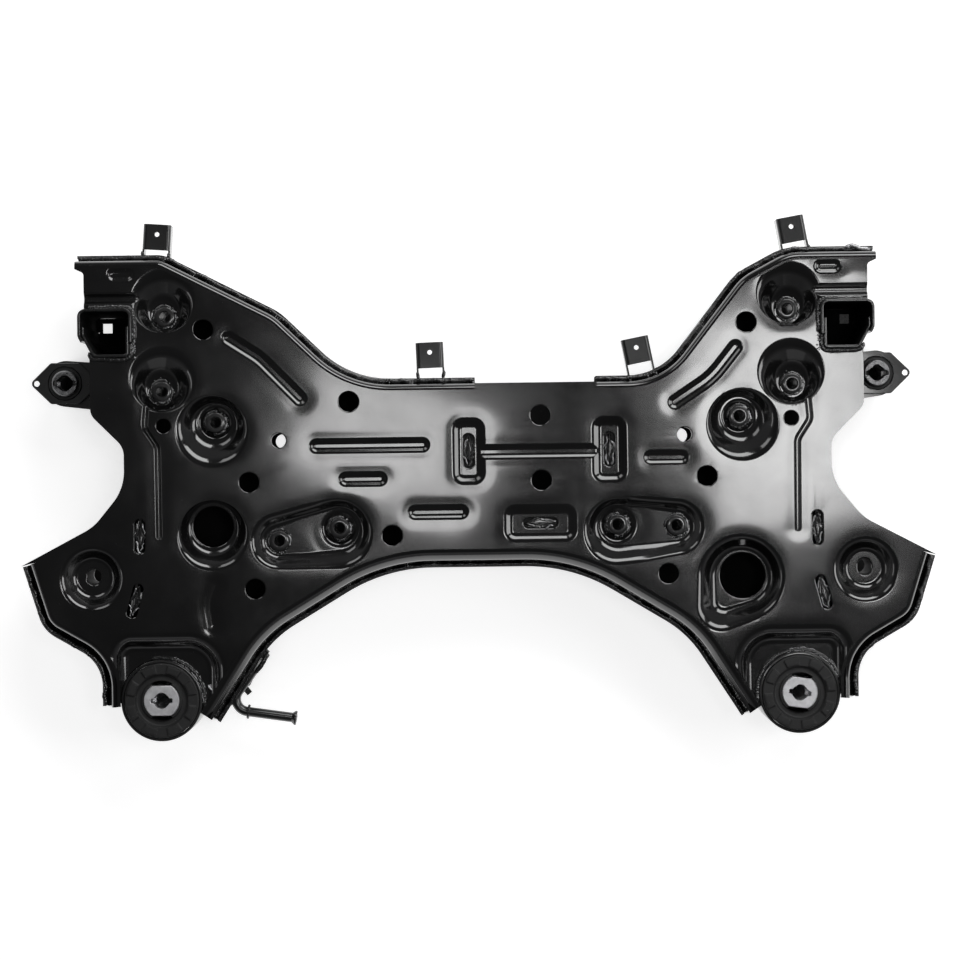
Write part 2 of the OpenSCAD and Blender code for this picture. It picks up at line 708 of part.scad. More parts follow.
// Ring of rubber with a void beside each flat of the core, and raised blocks round its face
module rear_rubber(side) color(rubber_tone) at_rear(side) rotate(core_turn(side)) difference() {
    union() {
        translate([0, 0, rubber_low]) cylinder(r = rubber_r, h = rubber_top - rubber_low);
        for (k = [0:block_count - 1]) rotate(360 * (k + 0.5) / block_count - block_turn / 2)
            translate([0, 0, rubber_top - e]) rotate_extrude(angle = block_turn)
                translate([rubber_r - 10, 0]) square([8, block_rise + e]);
    }
    translate([0, 0, rubber_low - e]) linear_extrude(sleeve_l + 10) core_shape(fit_gap);
    translate([0, 0, rubber_top - void_depth]) linear_extrude(void_depth + block_rise + e)
        for (s = [-1, 1]) intersection() {
            circle(r = core_flat / 2 + void_w);
            polygon([[0, 0], for (q = [-void_turn / 2, void_turn / 2]) s * sleeve_d * [sin(q), cos(q)]]);
        }
}

module rear_core(side) color(bright) at_rear(side) rotate(core_turn(side)) difference() {
    linear_extrude(core_l) core_shape(0);
    keyed_bore(core_bore, core_l, 0);
}

// Folded cover tab; its legs run back to the front wall and stop at it
module tab(place) color(steel) difference() {
    translate([place.x, place.y, body_wall_z]) rotate(place.z) {
        difference() {
            translate([-tab_w / 2, -tab_l, -tab_t]) cube([tab_w, tab_l, tab_t]);
            translate([0, -tab_l / 2 + 3, -tab_t - e]) cylinder(d = tab_hole, h = tab_t + 2 * e);
        }
        for (s = [-1, 1]) translate([s * (tab_w - tab_t) / 2 - tab_t / 2, -2 * tab_l, -tab_leg])
            cube([tab_t, 2 * tab_l, tab_leg]);
    }
    wall_cut();
}

// Bent rod with a stop collar and a head, in the plane of its bend
module hanger_rod() color(steel) translate([0, 0, rod_z]) {
    u = unit(rod_corner - rod_start);
    v = unit(rod_end - rod_corner);
    bend = turn(u, v);
    reach = rod_bend * tan(abs(bend) / 2);
    first = norm(rod_corner - rod_start) - reach;
    second = norm(rod_end - rod_corner) - reach;
    translate(rod_start) rotate(turn([1, 0], u)) {
        rotate([0, 90, 0]) cylinder(d = rod_d, h = first);
        translate([first, rod_bend]) rotate(-90) rotate_extrude(angle = bend)
            translate([rod_bend, 0]) circle(d = rod_d);
        translate([first, rod_bend]) rotate(bend) translate([0, -rod_bend]) rotate([0, 90, 0]) {
            cylinder(d = rod_d, h = second);
            translate([0, 0, -collar_t / 2]) cylinder(d = rod_head, h = collar_t);
            translate([0, 0, second - head_t - head_taper]) cylinder(d1 = rod_d, d2 = rod_head, h = head_taper);
            translate([0, 0, second - head_t]) cylinder(d = rod_head, h = head_t);
        }
    }
}

// Small stay plate welded across the underside of the rod
module hanger_gusset() color(steel)
    translate([gusset_place.x, gusset_place.y, rod_z - rod_d / 2 - gusset.z - fit_gap]) rotate(gusset_turn)
        translate([-gusset.x / 3, -gusset.y / 2]) cube(gusset);

// Everything inside the body shell's walls, for pieces that stop at them
module wall_cut() {
    linear_extrude(face_z) offset(delta = fit_gap) polygon(body_silhouette);
}

road_panel();
body_panel();
wing_bulkhead(-1);  // wing_bulkhead_left
wing_bulkhead(1);  // wing_bulkhead_right
rib_left();
rib_right();
cross_rib();
spacer([-upper_bolt.x, upper_bolt.y], front_floor_z);  // front_upper_spacer_left
spacer(upper_bolt, front_floor_z);  // front_upper_spacer_right
spacer([-lower_bolt.x, lower_bolt.y], front_floor_z);  // front_lower_spacer_left
spacer(lower_bolt, front_floor_z);  // front_lower_spacer_right
spacer([-mid_bolt.x, mid_bolt.y], mid_floor_z);  // mid_spacer_left
spacer(mid_bolt, mid_floor_z);  // mid_spacer_right
spacer([-inner_bolt.x, inner_bolt.y], rear_floor_z);  // rear_inner_spacer_left
spacer(inner_bolt, rear_floor_z);  // rear_inner_spacer_right
spacer(outer_bolt_left, rear_floor_z);  // rear_outer_spacer_left
spacer(outer_bolt_right, rear_floor_z);  // rear_outer_spacer_right
arm_spacer(-1);  // arm_spacer_left
arm_spacer(1);  // arm_spacer_right
tower_front_channel(-1);  // tower_front_channel_left
tower_front_channel(1);  // tower_front_channel_right
tower_rear_channel(-1);  // tower_rear_channel_left
tower_rear_channel(1);  // tower_rear_channel_right
tower_end_plate(-1);  // tower_end_plate_left
tower_end_plate(1);  // tower_end_plate_right
front_bracket(-1);  // front_bracket_left
front_bracket(1);  // front_bracket_right
front_housing(-1);  // front_housing_left
front_housing(1);  // front_housing_right
front_flange(-1);  // front_flange_left
front_flange(1);  // front_flange_right
front_rubber(-1);  // front_rubber_left
front_rubber(1);  // front_rubber_right
front_core(-1);  // front_core_left
front_core(1);  // front_core_right
rear_sleeve(-1);  // rear_sleeve_left
rear_sleeve(1);  // rear_sleeve_right
rear_rubber(-1);  // rear_rubber_left
rear_rubber(1);  // rear_rubber_right
rear_core(-1);  // rear_core_left
rear_core(1);  // rear_core_right
tab(tab_places[0]);  // tab_front_left
tab(tab_places[1]);  // tab_front_right
tab(tab_places[2]);  // tab_middle_left
tab(tab_places[3]);  // tab_middle_right
hanger_rod();
hanger_gusset();
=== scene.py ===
import json
import math
import random

import bmesh
import bpy
import numpy as np
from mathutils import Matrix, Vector, geometry


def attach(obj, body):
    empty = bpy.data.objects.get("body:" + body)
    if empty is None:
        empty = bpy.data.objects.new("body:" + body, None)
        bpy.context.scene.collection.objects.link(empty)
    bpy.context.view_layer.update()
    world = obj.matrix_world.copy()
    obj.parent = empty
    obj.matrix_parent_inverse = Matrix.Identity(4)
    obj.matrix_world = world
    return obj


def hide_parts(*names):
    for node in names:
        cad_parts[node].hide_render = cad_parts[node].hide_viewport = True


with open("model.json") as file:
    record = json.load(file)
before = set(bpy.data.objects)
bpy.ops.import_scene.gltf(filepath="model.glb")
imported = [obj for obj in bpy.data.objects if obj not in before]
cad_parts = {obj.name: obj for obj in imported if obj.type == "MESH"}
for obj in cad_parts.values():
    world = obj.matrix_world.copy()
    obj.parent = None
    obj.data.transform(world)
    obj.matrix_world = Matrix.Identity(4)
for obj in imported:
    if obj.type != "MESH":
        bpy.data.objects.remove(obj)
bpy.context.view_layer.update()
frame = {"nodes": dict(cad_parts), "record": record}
scene = bpy.context.scene
scene.view_settings.view_transform = "Standard"
rng = random.Random(11)
mm = 0.001  # shapes below are in millimetres
bothEnds = ((-1, "left"), (1, "right"))
print("frame loaded,", len(frame["nodes"]), "nodes")


# camera, straight above the road side

cameraSetup = {"x": 2, "y": -4, "height": 2800, "roll": -0.0131, "viewWidth": 960, "plateHeight": 110}

planCamera = bpy.data.cameras.new("planCamera")
planCamera.sensor_width = 36
planCamera.lens = 36 * (cameraSetup["height"] - cameraSetup["plateHeight"]) / cameraSetup["viewWidth"]
planCamera.clip_end = 50
cameraObject = bpy.data.objects.new("planCamera", planCamera)
cameraObject.location = [cameraSetup[k] * mm for k in ("x", "y", "height")]
cameraObject.rotation_euler = (0, 0, cameraSetup["roll"])
scene.collection.objects.link(cameraObject)
scene.camera = cameraObject
print("camera set")


# plane geometry helpers

def unitRows(v):
    return v / np.linalg.norm(v, axis=-1, keepdims=True)


def leftOf(v):
    return np.stack((-v[..., 1], v[..., 0]), axis=-1)


def roundPath(corners, step=3):
    points = []  # corners are x, y, radius; radius 0 keeps the corner
    for i, (x, y, r) in enumerate(corners):
        b = np.array((x, y), float)
        if r == 0:
            points.append(b)
            continue
        a = np.array(corners[i - 1][:2], float)
        c = np.array(corners[(i + 1) % len(corners)][:2], float)
        u, v = unitRows(b - a), unitRows(c - b)
        bend = math.atan2(u[0] * v[1] - u[1] * v[0], u @ v)
        out = math.copysign(r, bend) * leftOf(u)
        start = b - u * r * math.tan(abs(bend) / 2)
        count = max(2, math.ceil(math.degrees(abs(bend)) / step))
        for k in range(count + 1):
            cq, sq = math.cos(bend * k / count), math.sin(bend * k / count)
            turned = np.array((out[0] * cq - out[1] * sq, out[0] * sq + out[1] * cq))
            points.append(start + out - turned)
    return np.array(points)


def pathNormals(path, closed=False):
    if closed:
        u = unitRows(np.roll(path, -1, axis=0) - path)
        w = np.roll(u, 1, axis=0)
    else:
        step = unitRows(np.diff(path, axis=0))
        u, w = np.vstack((step, step[-1:])), np.vstack((step[:1], step))
    m = u + w
    return leftOf(m) / np.sum(m * u, axis=1, keepdims=True)


def offsetPath(path, d, closed=False):
    return path + d * pathNormals(path, closed)


def flipPath(path):
    return path[::-1] * np.array((-1, 1))


def evenPath(path, spacing, closed=False):
    if closed:
        path = np.vstack((path, path[:1]))
    run = np.concatenate(([0], np.cumsum(np.linalg.norm(np.diff(path, axis=0), axis=1))))
    count = max(2, int(round(run[-1] / spacing)))
    at = np.linspace(0, run[-1], count + 1)
    if closed:
        at = at[:-1]
    return np.stack([np.interp(at, run, path[:, k]) for k in range(path.shape[1])], axis=1)


def levelPath(path, z):
    return np.column_stack((path, np.full(len(path), z)))


def discDirections(count):
    q = np.linspace(0, 2 * np.pi, count, endpoint=False)
    return np.stack((np.cos(q), np.sin(q)), axis=1)


def discLoop(discs, count, grow=0):
    directions = discDirections(count)  # convex outline round discs x, y, r
    discs = np.array(discs, float)
    radii = np.maximum(discs[:, 2] + grow, 0.2)
    reach = directions @ discs[:, :2].T + radii
    pick = np.argmax(reach, axis=1)
    return discs[pick, :2] + radii[pick, None] * directions


def discDistance(points, discs, count=72):
    directions = discDirections(count)
    discs = np.array(discs, float)
    reach = np.max(directions @ discs[:, :2].T + discs[:, 2], axis=1)
    return np.max(points @ directions.T - reach, axis=1)


def insidePolygon(points, loop):
    inside = np.zeros(len(points), bool)
    for (x0, y0), (x1, y1) in zip(loop, np.roll(loop, -1, axis=0)):
        if y0 == y1:
            continue
        crosses = (y0 > points[:, 1]) != (y1 > points[:, 1])
        inside ^= crosses & (points[:, 0] < (x1 - x0) * (points[:, 1] - y0) / (y1 - y0) + x0)
    return inside


# sheet pressings

shoulder = {"sag": 0.2, "reach": 7, "rings": (3, 6, 9.5, 14, 20), "limit": 22}  # the soft fall round a pressing
pressBlend = 8  # power that joins pressings which overlap


def pressing(top, floor, depth, rim=0.3, foot=0.3, count=72):
    return {"top": np.array(top, float), "floor": np.array(floor, float), "depth": depth,
            "rim": rim, "foot": foot, "count": count, "path": None}


def slopePressing(discs, slope, depth, rim=0.35, foot=0.35, count=72):
    return pressing(discs, [(x, y, r - slope) for x, y, r in discs], depth, rim, foot, count)


def groovePressing(path, width, depth, floorShare=0.4):
    half = width / 2
    return {"path": np.array(path, float), "half": half, "floorHalf": half * floorShare, "depth": depth,
            "rim": 0.5, "foot": 0.5, "count": 28}


def grooveLoop(path, half, noseCount):
    u0, u1 = unitRows(path[1] - path[0]), unitRows(path[-1] - path[-2])
    nose = np.linspace(0, np.pi, noseCount)[1:-1]
    tail = [path[-1] + half * (math.cos(q) * leftOf(u1) + math.sin(q) * u1) for q in nose]
    head = [path[0] - half * (math.cos(q) * leftOf(u0) + math.sin(q) * u0) for q in nose]
    return np.vstack((offsetPath(path, half), tail, offsetPath(path, -half)[::-1], head))


def pathDistance(points, path):
    best = np.full(len(points), 1e9)
    for a, b in zip(path[:-1], path[1:]):
        ab = b - a
        s = np.clip(((points - a) @ ab) / (ab @ ab), 0, 1)
        best = np.minimum(best, np.linalg.norm(points - a - s[:, None] * ab, axis=1))
    return best


def pressLoop(press, t):
    if press["path"] is not None:
        half = press["half"] + t * (press["floorHalf"] - press["half"])
        return grooveLoop(press["path"], max(half, 0.3), 12)
    discs = press["top"] + t * (press["floor"] - press["top"])
    return discLoop(discs, press["count"])


def pressShare(points, press):
    if press["path"] is not None:  # 0 at the rim, 1 at the floor's edge
        return (press["half"] - pathDistance(points, press["path"])) / (press["half"] - press["floorHalf"])
    samples = np.linspace(-0.5, 1.5, 25)
    away = np.stack([discDistance(points, press["top"] + t * (press["floor"] - press["top"]))
                     for t in samples], axis=1)
    out = away > 0
    first = np.argmax(out, axis=1)
    none = ~out.any(axis=1)
    k = np.clip(first, 1, len(samples) - 1)
    row = np.arange(len(points))
    a, b = away[row, k - 1], away[row, k]
    share = samples[k - 1] + (samples[1] - samples[0]) * np.clip(-a / np.where(b - a == 0, 1, b - a), 0, 1)
    share = np.where(first == 0, samples[0], share)
    return np.where(none, samples[-1], share)


def rimGap(points, press):
    if press["path"] is not None:
        return pathDistance(points, press["path"]) - press["half"]
    return discDistance(points, press["top"])


def rimLoop(press, grow):
    if press["path"] is not None:
        return grooveLoop(press["path"], press["half"] + grow, 12)
    return discLoop(press["top"], press["count"], grow)


def rampShare(t, rim, foot):
    low = (t + rim) ** 2 / (4 * rim)
    high = 1 - (1 + foot - t) ** 2 / (4 * foot)
    ramp = np.where(t < rim, low, t)
    ramp = np.where(t > 1 - foot, high, ramp)
    return np.where(t <= -rim, 0, np.where(t >= 1 + foot, 1, ramp))


def inBox(points, low, high):
    return np.all((points > low) & (points < high), axis=1)


def pressDrop(points, pressings, holes, edgeSoft):
    total = np.zeros(len(points))  # how far the sheet lies below its face
    for press in pressings:
        box = pressLoop(press, -0.5)
        near = inBox(points, box.min(axis=0), box.max(axis=0))
        if near.any():
            drop = press["depth"] * rampShare(pressShare(points[near], press), press["rim"], press["foot"])
            total[near] += drop ** pressBlend
    total = total ** (1 / pressBlend)
    for press in pressings:
        box = rimLoop(press, shoulder["limit"])
        near = inBox(points, box.min(axis=0), box.max(axis=0))
        if near.any():
            away = np.maximum(rimGap(points[near], press), 0) / shoulder["reach"]
            total[near] += shoulder["sag"] * np.exp(-away ** 2)
    for hole in holes:
        box = np.array(hole)
        reach = box[:, 2:] + 2
        near = inBox(points, (box[:, :2] - reach).min(axis=0), (box[:, :2] + reach).max(axis=0))
        if near.any():
            gap = np.clip(discDistance(points[near], hole) / edgeSoft, 0, 1)
            total[near] += 0.4 * edgeSoft * (1 - gap) ** 2
    return total


# meshes and pieces

def flatTriangles(loops, near):
    points, edges = [], []
    for loop in loops:
        base = len(points)
        points.extend(Vector((float(x), float(y))) for x, y in loop)
        edges.extend((base + i, base + (i + 1) % len(loop)) for i in range(len(loop)))
    flat = geometry.delaunay_2d_cdt(points, edges, [], 0, near)
    xy, tris = np.array([(p.x, p.y) for p in flat[0]]), np.array(flat[2])
    return xy, tris, xy[tris].mean(axis=1), flat[3]


def newPiece(name, verts, faces, material, slot, replaced=(), smooth=True, normals=None):
    mesh = bpy.data.meshes.new(name)
    mesh.from_pydata([tuple(float(c) * mm for c in v) for v in verts], [], [tuple(int(k) for k in f) for f in faces])
    mesh.polygons.foreach_set("use_smooth", [smooth] * len(mesh.polygons))
    if normals is not None:
        mesh.normals_split_custom_set([tuple(float(c) for c in n) for n in normals])
    else:
        shape = bmesh.new()
        shape.from_mesh(mesh)
        bmesh.ops.recalc_face_normals(shape, faces=shape.faces)
        shape.to_mesh(mesh)
        shape.free()
        mesh.set_sharp_from_angle(angle=math.radians(38))
    mesh.update()
    piece = bpy.data.objects.new(name, mesh)
    piece.data.materials.append(material)
    scene.collection.objects.link(piece)
    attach(piece, "root")
    if replaced:
        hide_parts(*replaced)
    return piece


def standIn(node, mesh, material, slot):
    return newPiece(node, *mesh, material, slot, (node,))


def joinParts(parts):
    verts, faces = [], []
    for partVerts, partFaces in parts:
        base = len(verts)
        verts.extend(partVerts)
        faces.extend([tuple(k + base for k in f) for f in partFaces])
    return verts, faces


def gridFaces(rows, count, closedRows=False, closedCount=True, base=0):
    faces = []  # quads between rows of count points each
    for k in range(rows if closedRows else rows - 1):
        a, b = base + k * count, base + (k + 1) % rows * count
        faces.extend((a + i, a + (i + 1) % count, b + (i + 1) % count, b + i)
                     for i in range(count if closedCount else count - 1))
    return faces


def latheMesh(profile, x, y, count=64):
    turns = discDirections(count)  # closed profile of radius, z
    verts = [(x + r * c, y + r * d, z) for r, z in profile for c, d in turns]
    return verts, gridFaces(len(profile), count, True)


def ribbonMesh(path, section):
    across = pathNormals(path)  # closed section of offset, z along an open plan path
    m, rows = len(path), len(section)
    verts = [(*(path[i] + across[i] * d), z) for d, z in section for i in range(m)]
    faces = gridFaces(rows, m, True, False)
    faces.append(tuple(k * m for k in range(rows)))
    faces.append(tuple(k * m + m - 1 for k in range(rows))[::-1])
    return verts, faces


def prismMesh(loop, low, high, bevel=0.5, holes=()):
    rings = [np.array(r, float) for r in (loop, *holes)]  # outer loop turns left, holes turn right
    inners = [offsetPath(ring, bevel, True) for ring in rings]
    verts, faces, caps = [], [], []
    for ring, inner in zip(rings, inners):
        m, base = len(ring), len(verts)
        for row, z in ((inner, low), (ring, low + bevel), (ring, high - bevel), (inner, high)):
            verts.extend((x, y, z) for x, y in row)
        faces.extend(gridFaces(4, m, base=base))
        caps.extend((base + i, base + 3 * m + i) for i in range(m))
    _, tris, middle, sources = flatTriangles(inners, 1e-4)
    keep = insidePolygon(middle, rings[0])
    for ring in rings[1:]:
        keep &= ~insidePolygon(middle, ring)
    for t in tris[keep]:
        ends = [caps[sources[k][0]] for k in t]
        faces.append(tuple(e[0] for e in ends[::-1]))
        faces.append(tuple(e[1] for e in ends))
    return verts, faces


def sweepMesh(points, radii, sides=10, flatness=1.0, tangents=None):
    points = np.array(points, float)
    tangents = unitRows(np.gradient(points, axis=0)) if tangents is None else np.array(tangents, float)
    side = unitRows(np.cross(tangents, (0, 0, 1)))
    rise = np.cross(side, tangents)
    turns = discDirections(sides)
    verts = []
    for i, r in enumerate(radii):
        verts.extend(points[i] + r * (c * side[i] + flatness * d * rise[i]) for c, d in turns)
    faces = gridFaces(len(points), sides)
    last = (len(points) - 1) * sides
    faces.append(tuple(range(sides))[::-1])
    faces.append(tuple(last + i for i in range(sides)))
    return verts, faces


def weldBead(path, radius, pitch=2.6, flatness=0.8, wobble=0.35, sides=9):
    path = evenPath(np.array(path, float), pitch / 3)
    n = len(path)
    run = np.arange(n) * pitch / 3
    drift = np.array([rng.gauss(0, 1) for _ in range(n)])
    drift = np.convolve(np.pad(drift, 6, mode="edge"), np.hanning(13) / 2.4, "valid")[:n]
    swell = np.array([rng.gauss(0, 1) for _ in range(n)])
    swell = np.convolve(np.pad(swell, 3, mode="edge"), np.hanning(7) / 1.7, "valid")[:n]
    radii = radius * (0.93 + 0.13 * np.abs(np.sin(np.pi * run / pitch)) + 0.05 * swell)
    ends = np.minimum(run, run[-1] - run) / (1.1 * radius)
    radii = radii * np.sqrt(np.clip(ends, 0.04, 1))
    side = unitRows(np.cross(unitRows(np.gradient(path, axis=0)), (0, 0, 1)))
    return sweepMesh(path + side * (drift * wobble)[:, None], radii, sides, flatness)


def arcPath(x, y, z, r, start, end, step=4):
    q = np.radians(np.linspace(start, end, max(3, int(abs(end - start) / step))))
    return levelPath(np.column_stack((x + r * np.cos(q), y + r * np.sin(q))), z)


def dropletMesh(x, y, z, r, squash=0.7):
    profile = [(max(0.02, r * math.cos(q)), z + squash * r * math.sin(q)) for q in np.linspace(-1.5, 1.5, 7)]
    return latheMesh(profile, x, y, 9)


def ringSpatter(x, y, z, count, turn, reach, size):
    drops = []
    for _ in range(count):
        q, r = math.radians(rng.uniform(*turn)), rng.uniform(*reach)
        drops.append(dropletMesh(x + r * math.cos(q), y + r * math.sin(q), z, rng.uniform(*size)))
    return drops


def roundLoop(r, count=48, x=0, y=0, way=1):
    return np.array([(x + r * c, y + way * r * d) for c, d in discDirections(count)])


def moved(mesh, x, y, turn=0, side=1):
    c, d = math.cos(math.radians(turn)), math.sin(math.radians(turn))
    verts = [(side * (x + c * v[0] - d * v[1]), y + d * v[0] + c * v[1], v[2]) for v in mesh[0]]
    return verts, mesh[1]


def sheetLoops(outline, holes, pressings, edgeSoft):
    loops = [outline]  # every loop becomes mesh edges, so bends stay crisp
    for hole in holes:
        count = 64 if len(hole) == 1 else 56
        for grow in (0, 0.35 * edgeSoft, edgeSoft):
            loops.append(discLoop(hole, count, grow))
    for press in pressings:
        rim, foot = press["rim"], press["foot"]
        shares = [-rim, -rim / 2, 0, rim / 2, rim, 0.5, 1 - foot, 1 - foot / 2, 1, 1 + foot / 2, 1 + foot]
        loops.extend(pressLoop(press, t) for t in sorted(set(round(t, 4) for t in shares)))
        loops.extend(rimLoop(press, grow) for grow in shoulder["rings"])
    return loops


def sheetTriangles(loops, outline, holes):
    xy, tris, middle, _ = flatTriangles(loops, 1e-3)
    keep = insidePolygon(middle, outline)
    for hole in holes:
        keep &= discDistance(middle, hole) > 0
    tris = tris[keep]
    a, b, c = xy[tris[:, 0]], xy[tris[:, 1]], xy[tris[:, 2]]
    area = (b[:, 0] - a[:, 0]) * (c[:, 1] - a[:, 1]) - (b[:, 1] - a[:, 1]) * (c[:, 0] - a[:, 0])
    tris = np.where(area[:, None] < 0, tris[:, ::-1], tris)[np.abs(area) > 1e-6]
    used = np.unique(tris)
    index = np.full(len(xy), -1)
    index[used] = np.arange(len(used))
    return xy[used], index[tris]


def joinPoints(verts, faces, normals, inside):
    keys = {}  # points that fall together are joined
    remap = np.array([keys.setdefault(tuple(v), len(keys)) for v in np.round(verts, 3)])
    order = np.zeros(len(keys), int)
    order[remap] = np.arange(len(verts))
    cleanFaces, cleanNormals, cleanInside, start = [], [], [], 0
    for f, within in zip(faces, inside):
        g = tuple(remap[k] for k in f)
        if len(set(g)) == len(g):
            cleanFaces.append(g)
            cleanInside.append(within)
            cleanNormals.extend(normals[start:start + len(f)])
        start += len(f)
    return verts[order], cleanFaces, cleanNormals, cleanInside


def openEdges(tris):
    edges = dict.fromkeys((t[i], t[(i + 1) % 3]) for t in tris for i in range(3))
    return [(p, q) for p, q in edges if (q, p) not in edges]


def wallMesh(path, rows, drop, setup, base):
    across = pathNormals(path)  # rows: offset, z, normal offset, normal z, then offset and z of the inner face
    side = unitRows(across)
    m = len(path)
    outer = [levelPath(path + across * r[0], r[1]) for r in rows]
    inner = [levelPath(path + across * r[4], r[5]) for r in rows]
    for k in range(len(rows)):
        sunk = drop(outer[k][:, :2])
        outer[k][:, 2] = np.minimum(outer[k][:, 2], setup["face"] - sunk)
        inner[k][:, 2] = np.minimum(inner[k][:, 2], outer[k][:, 2] - (setup["thick"] if k < 3 else 0))
    grid = outer + inner[::-1]
    lean = [levelPath(side * r[2], r[3]) for r in rows]
    lean = [unitRows(v) for v in lean + [-v for v in lean[::-1]]]
    faces, normals, inside = [], [], []
    count = len(grid)
    for k in range(count - 1):
        edgeRow = k == len(rows) - 1
        for i in range(m - 1):
            quad = ((k, i), (k, i + 1), (k + 1, i + 1), (k + 1, i))
            faces.append(tuple(base + r * m + c for r, c in quad))
            inside.append(int(k >= len(rows)))
            normals.extend((0, 0, -1) if edgeRow else lean[r][c] for r, c in quad)
    for i, way in ((0, -1), (m - 1, 1)):  # the wall's two ends
        along = unitRows(path[1] - path[0]) if i == 0 else unitRows(path[-1] - path[-2])
        for k in range(len(rows) - 1):
            quad = [k, k + 1, count - 2 - k, count - 1 - k][::-way]
            faces.append(tuple(base + r * m + i for r in quad))
            inside.append(1)
            normals.extend([np.append(along * way, 0)] * 4)
    return grid, faces, normals, inside


def turnOver(verts, faces, normals, height):
    turned, start = [], 0
    for f in faces:
        turned.append(normals[start:start + len(f)][::-1])
        start += len(f)
    verts[:, 2] = height - verts[:, 2]
    return verts, [f[::-1] for f in faces], np.vstack(turned) * (1, 1, -1)


def pressedSheet(name, outline, joints, walls, holes, pressings, setup, material, slot, replaced):
    xy, tris = sheetTriangles(sheetLoops(outline, holes, pressings, setup["edgeSoft"]), outline, holes)

    def drop(p):
        return pressDrop(p, pressings, holes, setup["edgeSoft"])

    probe = 0.02  # step for reading the slope
    slopeX = (drop(xy + (probe, 0)) - drop(xy - (probe, 0))) / (2 * probe)
    slopeY = (drop(xy + (0, probe)) - drop(xy - (0, probe))) / (2 * probe)
    normal = unitRows(np.stack((slopeX, slopeY, np.ones(len(xy))), axis=1))
    z = setup["face"] - drop(xy)
    n = len(xy)
    verts = [np.column_stack((xy, z)), np.column_stack((xy, z - setup["thick"]))]
    faces = [tuple(t) for t in tris] + [tuple(t[::-1] + n) for t in tris]
    inside = [0] * len(tris) + [1] * len(tris)  # 1 takes the dull inner finish
    normals = [normal[k] for t in tris for k in t] + [-normal[k] for t in tris for k in t[::-1]]
    joined = {(round(x, 2), round(y, 2)) for row in joints for x, y in row}  # where walls carry on
    for p, q in openEdges(tris):
        if all((round(xy[k][0], 2), round(xy[k][1], 2)) in joined for k in (p, q)):
            continue
        faces.append((q, p, p + n, q + n))
        inside.append(0)
        way = xy[q] - xy[p]
        normals.extend([np.append(unitRows(np.array((way[1], -way[0]))), 0)] * 4)
    base = 2 * n
    for path, rows in walls:
        grid, wallFaces, wallNormals, wallInside = wallMesh(path, rows, drop, setup, base)
        verts += grid
        faces += wallFaces
        normals += wallNormals
        inside += wallInside
        base += len(grid) * len(path)
    verts, normals = np.vstack(verts), np.array(normals)
    if setup["turned"]:  # the body panel is pressed the other way up
        verts, faces, normals = turnOver(verts, faces, normals, setup["turned"])
    verts, faces, normals, inside = joinPoints(verts, faces, normals, inside)
    piece = newPiece(name, verts, faces, material, slot, replaced, True, normals)
    piece.data.materials.append(shellInside)
    piece.data.polygons.foreach_set("material_index", inside)
    return piece


def wallRows(setup, lap, draft, depth):  # a quarter bend, then a drafted wall
    face, thick, bend = setup["face"], setup["thick"], setup["bend"]
    top = -lap - draft
    rows = [(top - bend - setup["flatLead"], face, 0, 1, top - bend - setup["flatLead"], face - thick)]
    for k in range(7):
        q = math.radians(90 * k / 6)
        s, c = math.sin(q), math.cos(q)
        rows.append((top - bend + bend * s, face - bend + bend * c, s, c,
                     top - bend + (bend - thick) * s, face - bend + (bend - thick) * c))
    low = face - depth
    for share in (0.5, 1):
        d = top + draft * share
        z = face - bend + (low - face + bend) * share
        rows.append((d, z, depth - bend, draft, d - thick, z))
    return rows


archBends = ((40, 7, 5), (58, 30, 5), (84, 6, 4))  # slope reached, radius, steps


def rolledRows(setup, lap, draft, depth, bends=archBends):  # the arch rolls over in three bends
    face, thick = setup["face"], setup["thick"]
    d, z, angle = -lap - draft - setup["bend"], face, 0
    rows = [(d - setup["flatLead"], face, 0, 1)]
    for turn, radius, count in bends:
        for q in np.radians(np.linspace(angle, turn, count + 1))[0 if angle == 0 else 1:]:
            s, c = math.sin(q), math.cos(q)
            s0, c0 = math.sin(math.radians(angle)), math.cos(math.radians(angle))
            rows.append((d + radius * (s - s0), z - radius * (c0 - c), s, c))
        d, z, angle = rows[-1][0], rows[-1][1], turn
    rows.append((-lap, face - depth, s, c))
    return [(*r, r[0] - thick * r[2], r[1] - thick * r[3]) for r in rows]


# materials

def shaderNodes(name):
    material = bpy.data.materials.new(name)
    material.use_nodes = True
    tree = material.node_tree
    return material, tree, tree.nodes["Principled BSDF"]


def addNode(tree, kind, **values):
    node = tree.nodes.new(kind)
    for key, value in values.items():
        if key in node.inputs:
            node.inputs[key].default_value = value
        else:
            setattr(node, key, value)
    return node


def noiseField(tree, scale, detail=3, roughness=0.55):
    coords = addNode(tree, "ShaderNodeTexCoord")
    noise = addNode(tree, "ShaderNodeTexNoise", Scale=scale, Detail=detail, Roughness=roughness)
    tree.links.new(coords.outputs["Object"], noise.inputs["Vector"])
    return noise


def rampField(tree, source, low, high, lowColour, highColour):
    ramp = addNode(tree, "ShaderNodeValToRGB")
    ramp.color_ramp.elements[0].position, ramp.color_ramp.elements[1].position = low, high
    ramp.color_ramp.elements[0].color = (*lowColour, 1)
    ramp.color_ramp.elements[1].color = (*highColour, 1)
    tree.links.new(source, ramp.inputs["Fac"])
    return ramp


def bumpField(tree, field, strength, distance, under=None):
    bump = addNode(tree, "ShaderNodeBump", Strength=strength, Distance=distance)
    tree.links.new(field.outputs["Fac"], bump.inputs["Height"])
    if under is not None:
        tree.links.new(under.outputs["Normal"], bump.inputs["Normal"])
    return bump


def mathField(tree, operation, first, second):
    node = addNode(tree, "ShaderNodeMath", operation=operation)
    tree.links.new(first, node.inputs[0])
    tree.links.new(second, node.inputs[1])
    return node.outputs[0]


def grey(v):
    return (v, v, v * 1.02)


